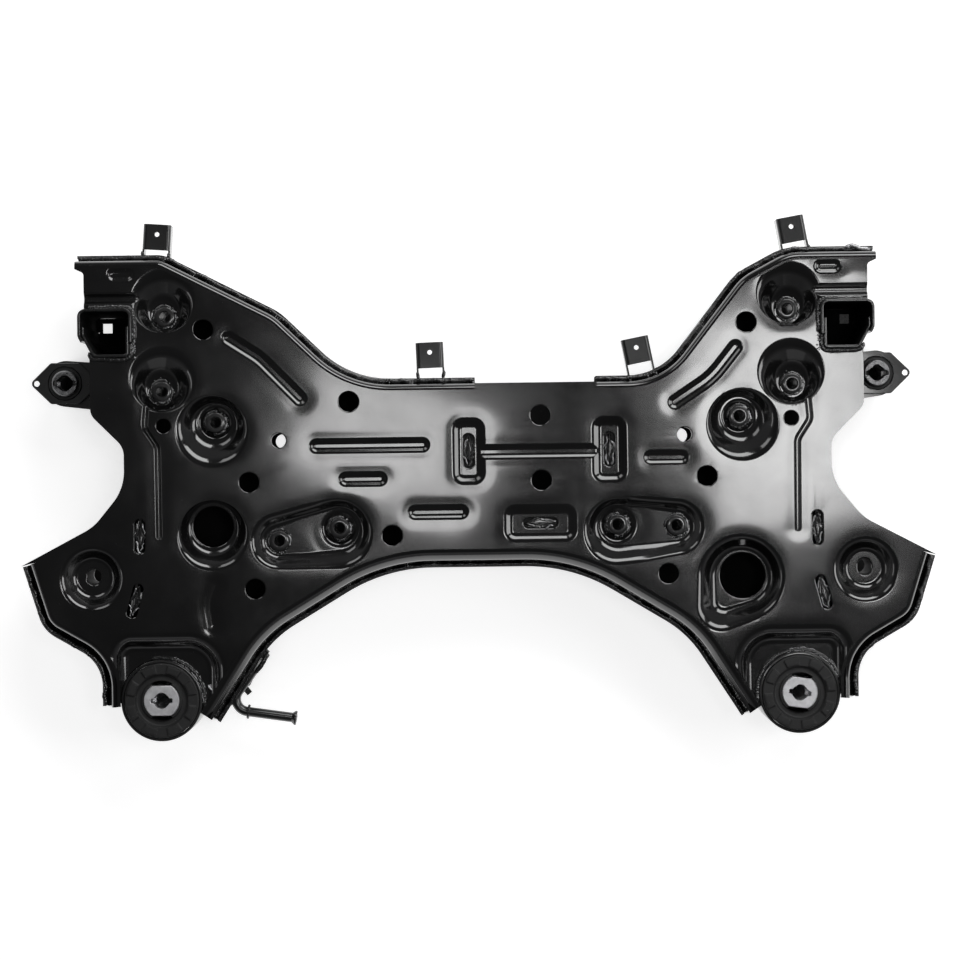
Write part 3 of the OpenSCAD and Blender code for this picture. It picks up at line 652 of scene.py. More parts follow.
def coatedSteel(name, look):
    material, tree, shader = shaderNodes(name)
    shader.inputs["Metallic"].default_value = 0
    shader.inputs["IOR"].default_value = look["ior"]
    shader.inputs["Coat Weight"].default_value = look["coat"]
    shader.inputs["Coat Roughness"].default_value = look["coatRoughness"]
    cloud = noiseField(tree, look["cloudScale"], 4)
    tone = rampField(tree, cloud.outputs["Fac"], 0.3, 0.75, grey(look["dark"]), grey(look["light"]))
    speck = noiseField(tree, look["speckScale"], 2, 0.7)
    dust = rampField(tree, speck.outputs["Fac"], look["speckFrom"], look["speckFrom"] + 0.06, (0, 0, 0), (1, 1, 1))
    mix = addNode(tree, "ShaderNodeMix", data_type="RGBA")
    mix.inputs[7].default_value = (*grey(look["dust"]), 1)
    tree.links.new(dust.outputs["Color"], mix.inputs[0])
    tree.links.new(tone.outputs["Color"], mix.inputs[6])
    tree.links.new(mix.outputs[2], shader.inputs["Base Color"])
    rough = noiseField(tree, look["roughScale"], 5, 0.6)
    roughRamp = rampField(tree, rough.outputs["Fac"], 0.3, 0.7, (look["smooth"],) * 3, (look["rough"],) * 3)
    tree.links.new(roughRamp.outputs["Color"], shader.inputs["Roughness"])
    peel = noiseField(tree, look["peelScale"], 2)
    wave = noiseField(tree, look["waveScale"], 2, 0.4)
    waveBump = bumpField(tree, wave, look["waveStrength"], 0.001)
    peelBump = bumpField(tree, peel, look["peelStrength"], 0.0002, waveBump)
    tree.links.new(peelBump.outputs["Normal"], shader.inputs["Normal"])
    return material


def bareMetal(name, look):
    material, tree, shader = shaderNodes(name)
    shader.inputs["Metallic"].default_value = 1
    cloud = noiseField(tree, look["cloudScale"], 4)
    tone = rampField(tree, cloud.outputs["Fac"], 0.3, 0.7, grey(look["dark"]), grey(look["light"]))
    tree.links.new(tone.outputs["Color"], shader.inputs["Base Color"])
    rough = rampField(tree, cloud.outputs["Fac"], 0.3, 0.7, (look["smooth"],) * 3, (look["rough"],) * 3)
    tree.links.new(rough.outputs["Color"], shader.inputs["Roughness"])
    grain = noiseField(tree, look["grainScale"], 3)
    bump = bumpField(tree, grain, look["grainStrength"], 0.0002)
    tree.links.new(bump.outputs["Normal"], shader.inputs["Normal"])
    return material


coatLook = {"dark": 0.003, "light": 0.009, "cloudScale": 9, "speckScale": 420, "speckFrom": 0.72, "dust": 0.04,
            "smooth": 0.11, "rough": 0.18, "roughScale": 30, "peelScale": 900, "peelStrength": 0.05,
            "waveScale": 14, "waveStrength": 0.25, "ior": 1.5, "coat": 1.0, "coatRoughness": 0.07}
shellCoat = coatedSteel("shellCoat", coatLook)
innerCoat = coatedSteel("innerCoat", {**coatLook, "smooth": 0.45, "rough": 0.6, "waveStrength": 0.1, "coat": 0.0})
shellInside = coatedSteel("shellInside", {**coatLook, "smooth": 0.7, "rough": 0.85, "ior": 1.2, "coat": 0.0})
towerCoat = coatedSteel("towerCoat", {**coatLook, "smooth": 0.22, "rough": 0.38, "peelStrength": 0.2})
mountCoat = coatedSteel("mountCoat", {**coatLook, "light": 0.02, "smooth": 0.25, "rough": 0.42, "peelScale": 1400})
tabCoat = coatedSteel("tabCoat", {**coatLook, "smooth": 0.3, "rough": 0.42, "light": 0.016})
weldCoat = coatedSteel("weldCoat", {**coatLook, "light": 0.03, "smooth": 0.18, "rough": 0.34, "peelStrength": 0.35,
                                    "speckFrom": 0.62, "dust": 0.12})
bushRubber = coatedSteel("bushRubber", {**coatLook, "coat": 0.0, "dark": 0.008, "light": 0.02, "smooth": 0.5,
                                        "rough": 0.68, "peelScale": 2200, "peelStrength": 0.3, "dust": 0.06,
                                        "speckFrom": 0.66})
coreMetal = bareMetal("coreMetal", {"dark": 0.74, "light": 0.92, "cloudScale": 160, "smooth": 0.4, "rough": 0.55,
                                    "grainScale": 1500, "grainStrength": 0.2})
# a darkened copy of the core metal: painted shade for the front cores' deep seat in the rubber
frontCoreMetal = bareMetal("frontCoreMetal", {"dark": 0.16, "light": 0.42, "cloudScale": 190, "smooth": 0.24,
                                              "rough": 0.45, "grainScale": 1300, "grainStrength": 0.25})
weldSilver = bareMetal("weldSilver", {"dark": 0.2, "light": 0.62, "cloudScale": 320, "smooth": 0.25, "rough": 0.5,
                                      "grainScale": 900, "grainStrength": 0.4})
print("materials made")


# the two pressed shells

shellSetup = {"face": 110, "back": 45, "thick": 3, "bend": 6, "flatLead": 2, "edgeSoft": 1.1, "gap": 0.3,
              "roadDepth": 30, "bodyDepth": 43, "frontDraft": 3.5, "archDraft": 10, "wingDraft": 8, "archDrop": 13}

frontLeftEdge = roundPath([(-401, 227, 0), (-314, 227, 30), (-198, 168, 60), (-127, 99.5, 100), (-2, 99.5, 0)])
frontRightEdge = roundPath([(120, 99.5, 0), (183, 99.5, 65), (262, 201, 60), (311, 227, 60), (401, 227, 0)])
wingEdge = roundPath([(460, -86, 0), (440, -150, 35), (381, -184, 40), (381, -227, 0)])
archEdge = roundPath([(264, -246, 0), (210, -162, 110), (94, -92, 170), (-94, -92, 170), (-210, -162, 110),
                      (-264, -246, 0)])
sideEdge = roundPath([(401, 212.2, 0), (392, 208, 4), (392, 146, 0), (387, 146, 0), (387, 66, 15), (354, 33, 20),
                      (354, -8, 50), (385, -46, 50), (458, -84.5, 0)])
windowEdge = np.array([(-2, 93), (120, 93)], float)

rearMount = {"x": 320.5, "y": -221.5, "sleeveR": 41}
towerPlace = {"x": 371, "y": 146}
towerDiscs = [(-19, 18, 8), (19, 18, 8), (17, -4.8, 10), (6.6, -17, 9), (-19, -18, 8)]


def shiftDiscs(discs, x, y, grow=0, side=1):
    return [(side * (dx + x), dy + y, r + grow) for dx, dy, r in discs]


def mirrorDiscs(discs):
    return [(-x, y, r) for x, y, r in discs]


def slotDiscs(x, y, width, length, turn=0):
    q = math.radians(turn)
    reach = (length - width) / 2
    return [(x - s * reach * math.sin(q), y + s * reach * math.cos(q), width / 2) for s in (-1, 1)]


def plateOutline(frontIn, wingIn, archIn):
    wing, wingLeft = offsetPath(wingEdge, -wingIn), offsetPath(flipPath(wingEdge), -wingIn)
    joints = [offsetPath(frontLeftEdge, -frontIn), offsetPath(frontRightEdge, -frontIn), wing,
              offsetPath(archEdge, -archIn), wingLeft]
    loop = np.vstack((joints[0], windowEdge, joints[1], sideEdge, wing, joints[3], wingLeft, flipPath(sideEdge)))
    keep = np.linalg.norm(loop - np.roll(loop, 1, axis=0), axis=1) > 0.01
    return loop[keep], joints


roadPresses = {
    "upperDish": ([(313, 176.5, 29)], [(313, 165, 16)], 18),
    "lowerDish": ([(315, 98.5, 30)], [(317, 90, 16)], 18),
    "midDish": ([(265, 50, 33.5)], [(263, 56, 21.5)], 14),
    "wingDish": ([(387, -98, 30)], [(387, -97, 19)], 12),
}
roadSingles = {
    "rearDishLeft": ([(-141, -55, 33), (-200, -62.5, 26)], [(-140, -52, 23), (-200, -62.5, 16)], 10),
    "rearDishRight": ([(139.5, -56, 32), (198, -53.5, 26)], [(139.5, -52, 22), (198, -53, 16)], 10),
    "openDishLeft": ([(-266, -54.5, 33.5)], [(-266.5, -48, 25)], 14),
    "openDishRight": ([(262.5, -105, 41), (242.5, -133, 22)], [(263.5, -104, 29), (246, -128, 11)], 14),
}
seatDiscs = [(-27, 29, 35), (28, 44, 20), (32, -80, 16), (-46, -80, 16)]
seatLook = {"slope": 11, "depth": 14, "rim": 0.5, "foot": 0.4}
pocketBoxes = [(-9, 25, 30, 63), (132, 25, 32, 63), (62, -48, 70, 34)]
pocketLook = {"corner": 10, "slope": 5.5, "depth": 2.9, "rim": 0.5, "foot": 0.5}
grooveLook = {"width": 13, "depth": 1.9, "floorShare": 0.46}
swageLook = {"width": 15, "depth": 4}
creaseLook = {"width": 20, "depth": 1.6, "floorShare": 0.1}
roadGrooves = [
    [(-161, 32), (-55, 32)], [(-132, -1.5), (-98, -1.5)], [(-63, -35.5), (-17, -35.5)], [(0, 24), (122, 24)],
    [(173, 16.5), (204, 16.5)], [(-362, 206), (-348, 206)], [(346, 205.5), (359, 205.5)],
    roundPath([(-248, 141, 0), (-217, 121, 60), (-177, 80, 0)], 4),
    roundPath([(198, 71.5, 0), (235, 96, 80), (259, 126, 0)], 4)]
cupDepths = {"rear_inner": 13.5, "mid": 17}  # dimples round the bosses
bossCups = [([(s * 139.5, -51.5, 25)], [(s * 139.5, -50.5, 13.5)], cupDepths["rear_inner"]) for s in (-1, 1)]
bossCups += [([(s * 263, 56.5, 22)], [(s * 263, 57, 13.5)], cupDepths["mid"]) for s in (-1, 1)]
stepLine = roundPath([(331, 75, 0), (333, 53, 12), (320, 33, 14), (319.5, -56, 0)], 8)
towerStep = np.array([(338, 182), (420, 182)], float)
faceSteps = [(stepLine, 6, 3.5), (towerStep, 11, 4)]  # line, width, depth
creaseLines = [roundPath([(-264, -106, 0), (-271, -124, 40), (-267, -146, 0)], 4)]
spacerPlaces = {"front_upper_spacer": (313, 164, 92), "front_lower_spacer": (317, 89, 92), "mid_spacer": (263, 57, 96),
                "rear_inner_spacer": (139.5, -50.5, 100)}
spacers = {f"{name}_{end}": (s * x, y, z) for name, (x, y, z) in spacerPlaces.items() for s, end in bothEnds}
spacers["rear_outer_spacer_left"] = (-200, -62.5, 100)
spacers["rear_outer_spacer_right"] = (198.5, -52, 100)
plainHoles = [(-273, 150, 10), (270, 150.5, 10), (-128.5, 76, 10), (63, 60, 10), (63.5, -5, 10), (-86.5, -58.5, 10),
              (189.5, -100, 10), (-229, -3.5, 10), (229, -3, 10), (-224, -110, 10), (-314, 54, 7.25), (314, 54, 7.25),
              (-266.5, -47.5, 20.5), (264.5, -103.5, 23)]
throughHoles = [(-199, 38, 7.25), (207, 39, 7.25)]
pocketSlots = [(-9, 25, 0), (132, 25, 0), (62, -48, 90)]
wingSlots = [(339, -56, 0), (344.5, -120.5, 15)]
slotSize = (11, 35)
armBolt = {"x": 387, "y": -96, "wide": 14.5, "long": 18, "bore": 7.25}
spacerSeat, spacerBore = 10.3, 5.25


def sharedHoles():
    holes = [[h] for h in throughHoles]
    for s in (-1, 1):
        holes.append(shiftDiscs(towerDiscs, towerPlace["x"], towerPlace["y"], shellSetup["gap"], s))
        holes.append([(s * rearMount["x"], rearMount["y"], rearMount["sleeveR"] + shellSetup["gap"])])
    return holes


def roadPanel():
    presses = []
    for top, floor, depth in roadPresses.values():
        presses.append(pressing(top, floor, depth))
        presses.append(pressing(mirrorDiscs(top), mirrorDiscs(floor), depth))
    presses.extend(pressing(*p) for p in roadSingles.values())
    seat = shiftDiscs(seatDiscs, rearMount["x"], rearMount["y"])
    presses.append(slopePressing(seat, **seatLook, count=96))
    presses.append(slopePressing(mirrorDiscs(seat), **seatLook, count=96))
    r = pocketLook["corner"]
    pocketWall = {k: v for k, v in pocketLook.items() if k != "corner"}
    for x, y, w, h in pocketBoxes:
        corners = [(x + s * (w / 2 - r), y + t * (h / 2 - r), r) for s in (-1, 1) for t in (-1, 1)]
        presses.append(slopePressing(corners, **pocketWall, count=64))
    presses.extend(groovePressing(path, **grooveLook) for path in roadGrooves)
    presses.extend(pressing(*cup, 0.4, 0.4) for cup in bossCups)
    for line, width, depth in faceSteps:
        presses.append(groovePressing(line, width, depth))
        presses.append(groovePressing(flipPath(line), width, depth))
    presses.extend(groovePressing(line, **creaseLook) for line in creaseLines)
    holes = sharedHoles() + [[h] for h in plainHoles]
    holes += [[(x, y, spacerSeat)] for x, y, z in spacers.values()]
    for s in (-1, 1):
        holes.append(slotDiscs(s * armBolt["x"], armBolt["y"], armBolt["wide"], armBolt["long"]))
        holes += [slotDiscs(s * x, y, *slotSize, s * turn) for x, y, turn in wingSlots]
    holes += [slotDiscs(x, y, *slotSize, turn) for x, y, turn in pocketSlots]
    setup = {**shellSetup, "turned": 0}
    lap = setup["thick"] + setup["gap"]
    lead = lap + setup["bend"] + setup["flatLead"]
    outline, joints = plateOutline(lead + setup["frontDraft"], lead + setup["wingDraft"], lead + setup["archDraft"])
    front = wallRows(setup, lap, setup["frontDraft"], setup["roadDepth"])
    wing = wallRows(setup, lap, setup["wingDraft"], setup["roadDepth"])
    arch = rolledRows(setup, lap, setup["archDraft"], setup["roadDepth"] + setup["archDrop"])
    walls = [(frontLeftEdge, front), (frontRightEdge, front), (wingEdge, wing), (archEdge, arch),
             (flipPath(wingEdge), wing)]
    return pressedSheet("roadPanel", outline, joints, walls, holes, presses, setup, shellCoat, "shell_steel",
                        ("road_panel",))


bodySwages = [[(-205, 76), (-160, 76)], [(-100, 60), (-40, 60)], [(165, 62), (215, 62)], [(-120, -20), (-40, -20)],
              [(165, -10), (190, -10)], [(-190, -10), (-165, -10)]]
drainHoles = [(-290, -10, 8), (290, -10, 8), (-60, 20, 8), (64, 20, 8), (-290, -150, 8), (290, -150, 8)]
frontMounts = {"left": (-420, 100), "right": (408, 100)}
frontSeat = 20.8


def bodyPanel():
    presses = [groovePressing(path, **swageLook) for path in bodySwages]
    holes = sharedHoles() + [[h] for h in drainHoles] + [[(x, y, spacerBore)] for x, y, z in spacers.values()]
    holes += [[(s * armBolt["x"], armBolt["y"], armBolt["bore"])] for s in (-1, 1)]
    holes += [[(x, y, frontSeat)] for x, y in frontMounts.values()]
    setup = {**shellSetup, "turned": shellSetup["face"] + shellSetup["back"]}
    lead = setup["bend"] + setup["flatLead"]
    outline, joints = plateOutline(lead, lead, lead)
    rows = wallRows(setup, 0, 0, setup["bodyDepth"])
    walls = [(p, rows) for p in (frontLeftEdge, frontRightEdge, wingEdge, flipPath(wingEdge))]
    walls.append((archEdge, wallRows(setup, 0, 0, setup["bodyDepth"] - setup["archDrop"])))
    return pressedSheet("bodyPanel", outline, joints, walls, holes, presses, setup, shellCoat, "shell_steel",
                        ("body_panel",))


roadPiece = roadPanel()
print("road panel pressed,", len(roadPiece.data.polygons), "faces")
bodyPiece = bodyPanel()
print("body panel pressed,", len(bodyPiece.data.polygons), "faces")


# bolt spacers

spacerLook = {"outer": 10, "bore": spacerBore, "foot": 48, "rise": 4, "chamfer": 1.1, "weldR": 11, "bead": 1.7,
              "drops": 7, "brightRuns": 3, "brightDrops": 14}

for name, (x, y, floorZ) in spacers.items():
    look = spacerLook
    top = floorZ + look["rise"]
    for cup, depth in cupDepths.items():
        if name.startswith(cup):
            floorZ = shellSetup["face"] - depth
    profile = [(look["bore"], look["foot"]), (look["bore"], top - look["chamfer"]), (look["bore"] + 1.2, top),
               (look["outer"] - 0.9, top), (look["outer"] - 0.25, top - 0.3), (look["outer"], top - 0.9),
               (look["outer"], look["foot"])]
    standIn(name, latheMesh(profile, x, y, 56), mountCoat, "inner_steel")
    start = rng.uniform(20, 80)
    beads = [weldBead(arcPath(x, y, floorZ + 0.8, look["weldR"], start, start + 150), look["bead"], 2.2),
             weldBead(arcPath(x, y, floorZ + 0.6, look["weldR"], start + 175, start + 330), look["bead"] * 0.8, 2.0)]
    beads += ringSpatter(x, y, floorZ + 0.3, look["drops"], (0, 360), (11.5, 14), (0.4, 1.0))
    newPiece(name + "_weld", *joinParts(beads), weldCoat, "inner_steel")
    glints = []
    for _ in range(look["brightRuns"]):
        start = rng.uniform(-110, 40)
        glints.append(weldBead(arcPath(x, y, floorZ + 2, look["weldR"], start, start + rng.uniform(16, 34)), 0.8, 1.5))
    glints += ringSpatter(x, y, floorZ + 1.8, look["brightDrops"], (-120, 60), (10.6, 13), (0.3, 0.75))
    newPiece(name + "_glint", *joinParts(glints), weldSilver, "inner_steel")
print("spacers made")


# towers of two nested channels

towerLook = {"top": 117, "wall": 3, "lap": 8, "gap": 0.3, "edge": 0.8, "bead": 2.6, "pitch": 2.8, "seamOff": 1.5,
             "seamY": -7, "seamX": 17, "frontSeamZ": 110.4, "rearSeamZ": 109.8, "specks": 26, "speckX": -28.5,
             "speckZ": 112.2}
towerLoop = roundPath([(-27, 26, 8), (27, 26, 8), (27, -2, 10), (14, -26, 9), (-27, -26, 8)], 6)[::-1]


def cutLoop(loop, y, keepAbove):
    fine = evenPath(loop, 0.8, True)
    keep = fine[:, 1] > y if keepAbove else fine[:, 1] < y
    first = next(i for i in range(len(fine)) if keep[i] and not keep[i - 1])
    rolled, rolledKeep = np.roll(fine, -first, axis=0), np.roll(keep, -first)
    return rolled[rolledKeep]


def channelSection(low, high, wall, edge):
    return [(0, low), (0, high - edge), (edge * 0.3, high - edge * 0.3), (edge, high), (wall - edge, high),
            (wall - edge * 0.3, high - edge * 0.3), (wall, high - edge), (wall, low)]


for s, end in bothEnds:
    look = towerLook
    for node, inset, top, y, above in (("tower_front_channel", 0, look["top"], -look["lap"], True),
                                       ("tower_rear_channel", look["wall"] + look["gap"], look["top"] - look["wall"],
                                        look["lap"], False)):
        path = cutLoop(offsetPath(towerLoop, inset, True), y, above)
        section = channelSection(0, top, look["wall"], look["edge"])
        mesh = moved(ribbonMesh(path, section), towerPlace["x"], towerPlace["y"], 0, s)
        channel = standIn(f"{node}_{end}", mesh, towerCoat, "tower_steel")
        channel.data.materials.append(shellInside)
        lining = (len(section) - 2) * (len(path) - 1)  # the last long face but one looks into the well
        for k in range(lining, lining + len(path) - 1):
            channel.data.polygons[k].material_index = 1
    beads = []
    for off, above, z in ((-look["seamOff"], True, look["frontSeamZ"]), (look["seamOff"], False, look["rearSeamZ"])):
        row = cutLoop(offsetPath(towerLoop, off, True), look["seamY"], above)
        beads.append(weldBead(levelPath(row[row[:, 0] < look["seamX"]], z), look["bead"], look["pitch"]))
    newPiece(f"tower_seam_{end}", *moved(joinParts(beads), towerPlace["x"], towerPlace["y"], 0, s), weldCoat,
             "tower_steel")
    specks = [dropletMesh(look["speckX"] + rng.uniform(-1.6, 1.2), rng.uniform(-24, 16), look["speckZ"],
                          rng.uniform(0.35, 1.0)) for _ in range(look["specks"])]
    newPiece(f"tower_spatter_{end}", *moved(joinParts(specks), towerPlace["x"], towerPlace["y"], 0, s), weldSilver,
             "tower_steel")
print("towers made")


# rear bushes

rearLook = {"sleeveR": rearMount["sleeveR"], "sleeveWall": 3, "top": 98, "foot": 24, "rubberR": 37.7,
            "rubberTop": 100, "rubberFoot": 28, "recess": 2.8, "lip": 1.6, "seamZ": 96.9, "seamR": 43.0,
            "coreR": 17.75, "coreFlat": 15, "coreTop": 101, "bore": 8, "keyHalf": 11, "keyWide": 2.5,
            "keyDepth": 25, "voidOut": 20, "voidHalf": 30, "voidDepth": 45, "blocks": 8, "blockHalf": 12,
            "blockRise": 1.5, "turns": {"left": 0, "right": -8}, "drops": 30,
            "brightRows": ((41.5, 98.0, 0.42), (44.9, 96.9, 0.36)),  # radius, z, bead
            "seams": {"left": (-8, 102, 76), "right": (-2, 192, 108)}}  # start, end, end of the bright part


def softStep(value, width):
    t = np.clip(value / width + 0.5, 0, 1)
    return t * t * (3 - 2 * t)


def rubberMesh(look):
    q = np.linspace(0, 2 * np.pi, 288, endpoint=False)
    inner = np.minimum(look["coreR"], look["coreFlat"] / np.maximum(np.abs(np.sin(q)), 1e-6)) + 0.3
    radii = [0, 15.6, 16.2, 17, 17.8, 18.6, 19.2, 19.6, 19.8, 20, 20.2, 20.5, 21, 22.2, 23.6, 24.8, 25.4, 25.9, 26.4,
             26.9, 27.4, 27.65, 27.9, 28.3, 30, 33, 35.1, 35.5, 35.8, 36.1, 36.6, 37.1, 37.45, look["rubberR"]]
    degrees = np.degrees(q)
    toVoid = look["voidHalf"] - np.minimum(np.abs(degrees - 90), np.abs(degrees - 270))
    blockAngle = np.abs((degrees % (360 / look["blocks"])) - 180 / look["blocks"])
    rows = []
    for k, r in enumerate(radii):
        reach = np.maximum(inner + 0.01 * k, r)
        arc = reach * np.pi / 180
        height = np.full(len(q), float(look["rubberTop"]))
        height -= look["recess"] * softStep(26.0 - reach, 2.2)
        height += look["lip"] * softStep(20.6 - reach, 1.4)
        band = softStep(reach - 27.7, 0.6) * softStep(35.7 - reach, 0.6)
        height += look["blockRise"] * band * softStep((look["blockHalf"] - blockAngle) * arc, 1.2)
        height -= 1.1 * np.clip((reach - 36.5) / 1.2, 0, 1) ** 2
        height -= look["voidDepth"] * softStep(look["voidOut"] - reach, 0.4) * softStep(toVoid * arc, 1.2)
        rows.append(np.column_stack((reach * np.cos(q), reach * np.sin(q), height)))
    for r in (rows[-1], rows[0]):
        rows.append(levelPath(r[:, :2], look["rubberFoot"]))
    return np.vstack(rows), gridFaces(len(rows), len(q), True)


def keyedLoop(bore, half, wide):
    q0 = math.asin(wide / bore)
    right = [(half - 0.8, -wide), (half, -wide + 0.8), (half, wide - 0.8), (half - 0.8, wide)]
    top = [(bore * math.cos(q), bore * math.sin(q)) for q in np.linspace(q0, math.pi - q0, 22)]
    return np.array(right + top + [(-x, -y) for x, y in right + top])[::-1]


def coreLoop(r, flat, count=20):
    q0 = math.asin(flat / r)
    right = [(r * math.cos(q), r * math.sin(q)) for q in np.linspace(-q0, q0, count)]
    return np.array(right + [(-x, -y) for x, y in right])


def keyedCore(outer, look, top, bevel):
    ledge = look["coreTop"] - look["keyDepth"]  # plain bore below, keyed bore above
    return [prismMesh(outer, 0, ledge, 0.01, [roundLoop(look["bore"], 48, 0, 0, -1)]),
            prismMesh(outer, ledge, top, bevel, [keyedLoop(look["bore"], look["keyHalf"], look["keyWide"])])]


for s, end in bothEnds:
    look = rearLook
    x, y = s * rearMount["x"], rearMount["y"]
    outside, top, foot = look["sleeveR"], look["top"], look["foot"]
    inside = outside - look["sleeveWall"]
    profile = [(inside, foot), (inside, top - 0.6), (inside + 0.6, top), (outside - 1, top), (outside - 0.3, top - 0.3),
               (outside, top - 1), (outside, foot + 0.8), (outside - 0.8, foot)]
    standIn(f"rear_sleeve_{end}", latheMesh(profile, x, y, 112), mountCoat, "mount_steel")
    turn = look["turns"][end]
    standIn(f"rear_rubber_{end}", moved(rubberMesh(look), x, y, turn), bushRubber, "bush_rubber")
    body = keyedCore(coreLoop(look["coreR"], look["coreFlat"]), look, look["coreTop"], 0.7)
    standIn(f"rear_core_{end}", moved(joinParts(body), x, y, turn), coreMetal, "core_metal")
    first, last, shine = look["seams"][end]
    ring = [weldBead(arcPath(x, y, look["seamZ"], look["seamR"], first, last, 2), 2.1, 2.6, 0.7, 0.25)]
    ring += ringSpatter(x, y, look["seamZ"] - 0.5, look["drops"], (first, last), (44.5, 47), (0.2, 0.5))
    newPiece(f"rear_seam_{end}", *joinParts(ring), weldCoat, "mount_steel")
    bright = []
    for r, z, thick in look["brightRows"]:
        at = first + 4
        while at < shine:
            arc = rng.uniform(6, 20)
            line = arcPath(x, y, z, r, at, min(at + arc, shine), 1.5)
            bright.append(weldBead(line, thick * rng.uniform(0.7, 1.25), 1.6, 0.8, 0.35, 7))
            at += arc + rng.uniform(0.4, 3)
    newPiece(f"rear_seam_bright_{end}", *joinParts(bright), weldSilver, "mount_steel")
print("rear bushes made")


# front bushes

frontLook = {"housingR": 20.5, "housingWall": 2.5, "housingTop": 52, "housingFoot": 12, "flangeTop": 55, "neckR": 17,
             "coreR": 13, "bore": 8, "coreTop": 60, "keyDepth": 25, "keyHalf": 11, "keyWide": 2.5, "plateR": 21,
             "earX": 29, "earR": 5, "earHole": 3, "shoulder": (13, 17, 4), "teeth": 28,
             "toothIn": 8.9, "toothOut": 11.9, "toothHigh": 0.8, "toothGap": 18}
toothLoop = np.array([(frontLook["toothIn"], -0.35), (frontLook["toothOut"], -0.5), (frontLook["toothOut"], 0.5),
                      (frontLook["toothIn"], 0.35)])
flangeDiscs = [(0, 0, frontLook["plateR"])] + [(s * frontLook["earX"], 0, frontLook["earR"]) for s in (1, -1)]
flangeDiscs += [(s * frontLook["shoulder"][0], t * frontLook["shoulder"][1], frontLook["shoulder"][2])
                for t in (1, -1) for s in (1, -1)]

for end, (x, y) in frontMounts.items():
    look = frontLook
    inside = look["housingR"] - look["housingWall"]
    outside, top, foot = look["housingR"], look["housingTop"], look["housingFoot"]
    profile = [(inside, foot + 0.5), (inside, top), (outside - 0.6, top), (outside, top - 0.6), (outside, foot + 0.6),
               (outside - 0.6, foot)]
    standIn(f"front_housing_{end}", latheMesh(profile, x, y, 80), mountCoat, "mount_steel")
    ears = [roundLoop(look["earHole"], 24, s * look["earX"], 0, -1) for s in (-1, 1)]
    plate = prismMesh(discLoop(flangeDiscs, 120), top, look["flangeTop"], 0.6,
                      [roundLoop(look["neckR"] + 0.3, 72, 0, 0, -1), *ears])
    standIn(f"front_flange_{end}", moved(plate, x, y), mountCoat, "mount_steel")
    core, neckR, rim = look["coreR"], look["neckR"], look["flangeTop"]
    neck = [(core + 0.3, foot + 2), (inside - 0.3, foot + 2), (inside - 0.3, top - 0.3), (neckR, top - 0.3),
            (neckR, rim - 0.8), (neckR - 0.6, rim), (neckR - 2, rim - 0.4), (core + 1.4, rim - 0.2),
            (core + 0.3, rim + 1)]
    standIn(f"front_rubber_{end}", latheMesh(neck, x, y, 80), bushRubber, "bush_rubber")
    body = keyedCore(roundLoop(look["coreR"], 84), look, look["coreTop"] - 0.5, 0.9)
    for k in range(look["teeth"]):
        q = 360 * (k + 0.5) / look["teeth"]
        if min(q % 180, 180 - q % 180) > look["toothGap"]:  # none beside the key slots
            tooth = prismMesh(toothLoop, look["coreTop"] - look["toothHigh"], look["coreTop"], 0.2)
            body.append(moved(tooth, 0, 0, q))
    standIn(f"front_core_{end}", moved(joinParts(body), x, y), frontCoreMetal, "core_metal")
print("front bushes made")


# cover tabs

tabLook = {"wide": 28, "long": 26, "thick": 2, "leg": 20, "hole": 3.25, "top": 88, "bend": 4, "holeY": -10, "nutR": 6.2,
           "nutHigh": 5, "nutBore": 2.4, "tackX": (12.6, 14.2), "tackZ": 87.4, "tackBead": 1.8}
tabPlaces = {"tab_front_left": (-320, 258, -4, 35), "tab_front_right": (317.5, 257.5, 10, 38),
             "tab_middle_left": (-47.5, 135.5, 2, 36), "tab_middle_right": (159.5, 137.5, 11, 42)}


def tabMesh(look, reach):
    half, t, r = look["wide"] / 2, look["thick"], look["bend"]
    plate = np.array([(-half + r, -look["long"]), (half - r, -look["long"]), (half - r, 0), (-half + r, 0)], float)
    parts = [prismMesh(plate, look["top"] - t, look["top"], 0.05, [roundLoop(look["hole"], 28, 0, look["holeY"], -1)])]
    bendTurn = np.radians(np.linspace(90, 0, 7))
    outside = [(half - r + r * math.cos(q), look["top"] - r + r * math.sin(q)) for q in bendTurn]
    inside = [(half - r + (r - t) * math.cos(q), look["top"] - r + (r - t) * math.sin(q)) for q in bendTurn]
    corner = np.array(outside + inside[::-1])[::-1]
    foot = look["top"] - look["leg"]
    wall = np.array([(half - t, foot), (half, foot), (half, look["top"] - r), (half - t, look["top"] - r)])
    for s in (-1, 1):
        for loop, low in ((corner, -look["long"]), (wall, -reach)):
            verts, faces = prismMesh(loop, low, 0, 0.3)
            parts.append(([(s * v[0], v[2], v[1]) for v in verts], faces))
    return joinParts(parts)


for name, (x, y, turn, reach) in tabPlaces.items():
    look = tabLook
    standIn(name, moved(tabMesh(look, reach), x, y, turn), tabCoat, "bracket_steel")
    hexagon = look["nutR"] * discDirections(6)
    under = look["top"] - look["thick"]
    nut = prismMesh(evenPath(hexagon, 2, True), under - look["nutHigh"], under, 0.3,
                    [roundLoop(look["nutBore"], 24, 0, 0, -1)])
    nut = ([(v[0], v[1] + look["holeY"], v[2]) for v in nut[0]], nut[1])
    newPiece(name + "_nut", *moved(nut, x, y, turn), tabCoat, "bracket_steel")
    near, far = look["tackX"]
    tacks = [weldBead(levelPath(np.array([(s * near, -reach - 1), (s * far, -reach + 7)]), look["tackZ"]),
                      look["tackBead"], 2.4) for s in (-1, 1)]
    newPiece(name + "_tacks", *moved(joinParts(tacks), x, y, turn), weldCoat, "bracket_steel")
print("tabs made")


# exhaust hanger rod

rodLook = {"r": 5, "z": 40.65, "bend": 13, "headR": 7.5, "collar": 2.5, "head": 2, "taper": 3,
           "corners": [(-219.4, -177.8), (-261.2, -235.1), (-189, -245.7)]}


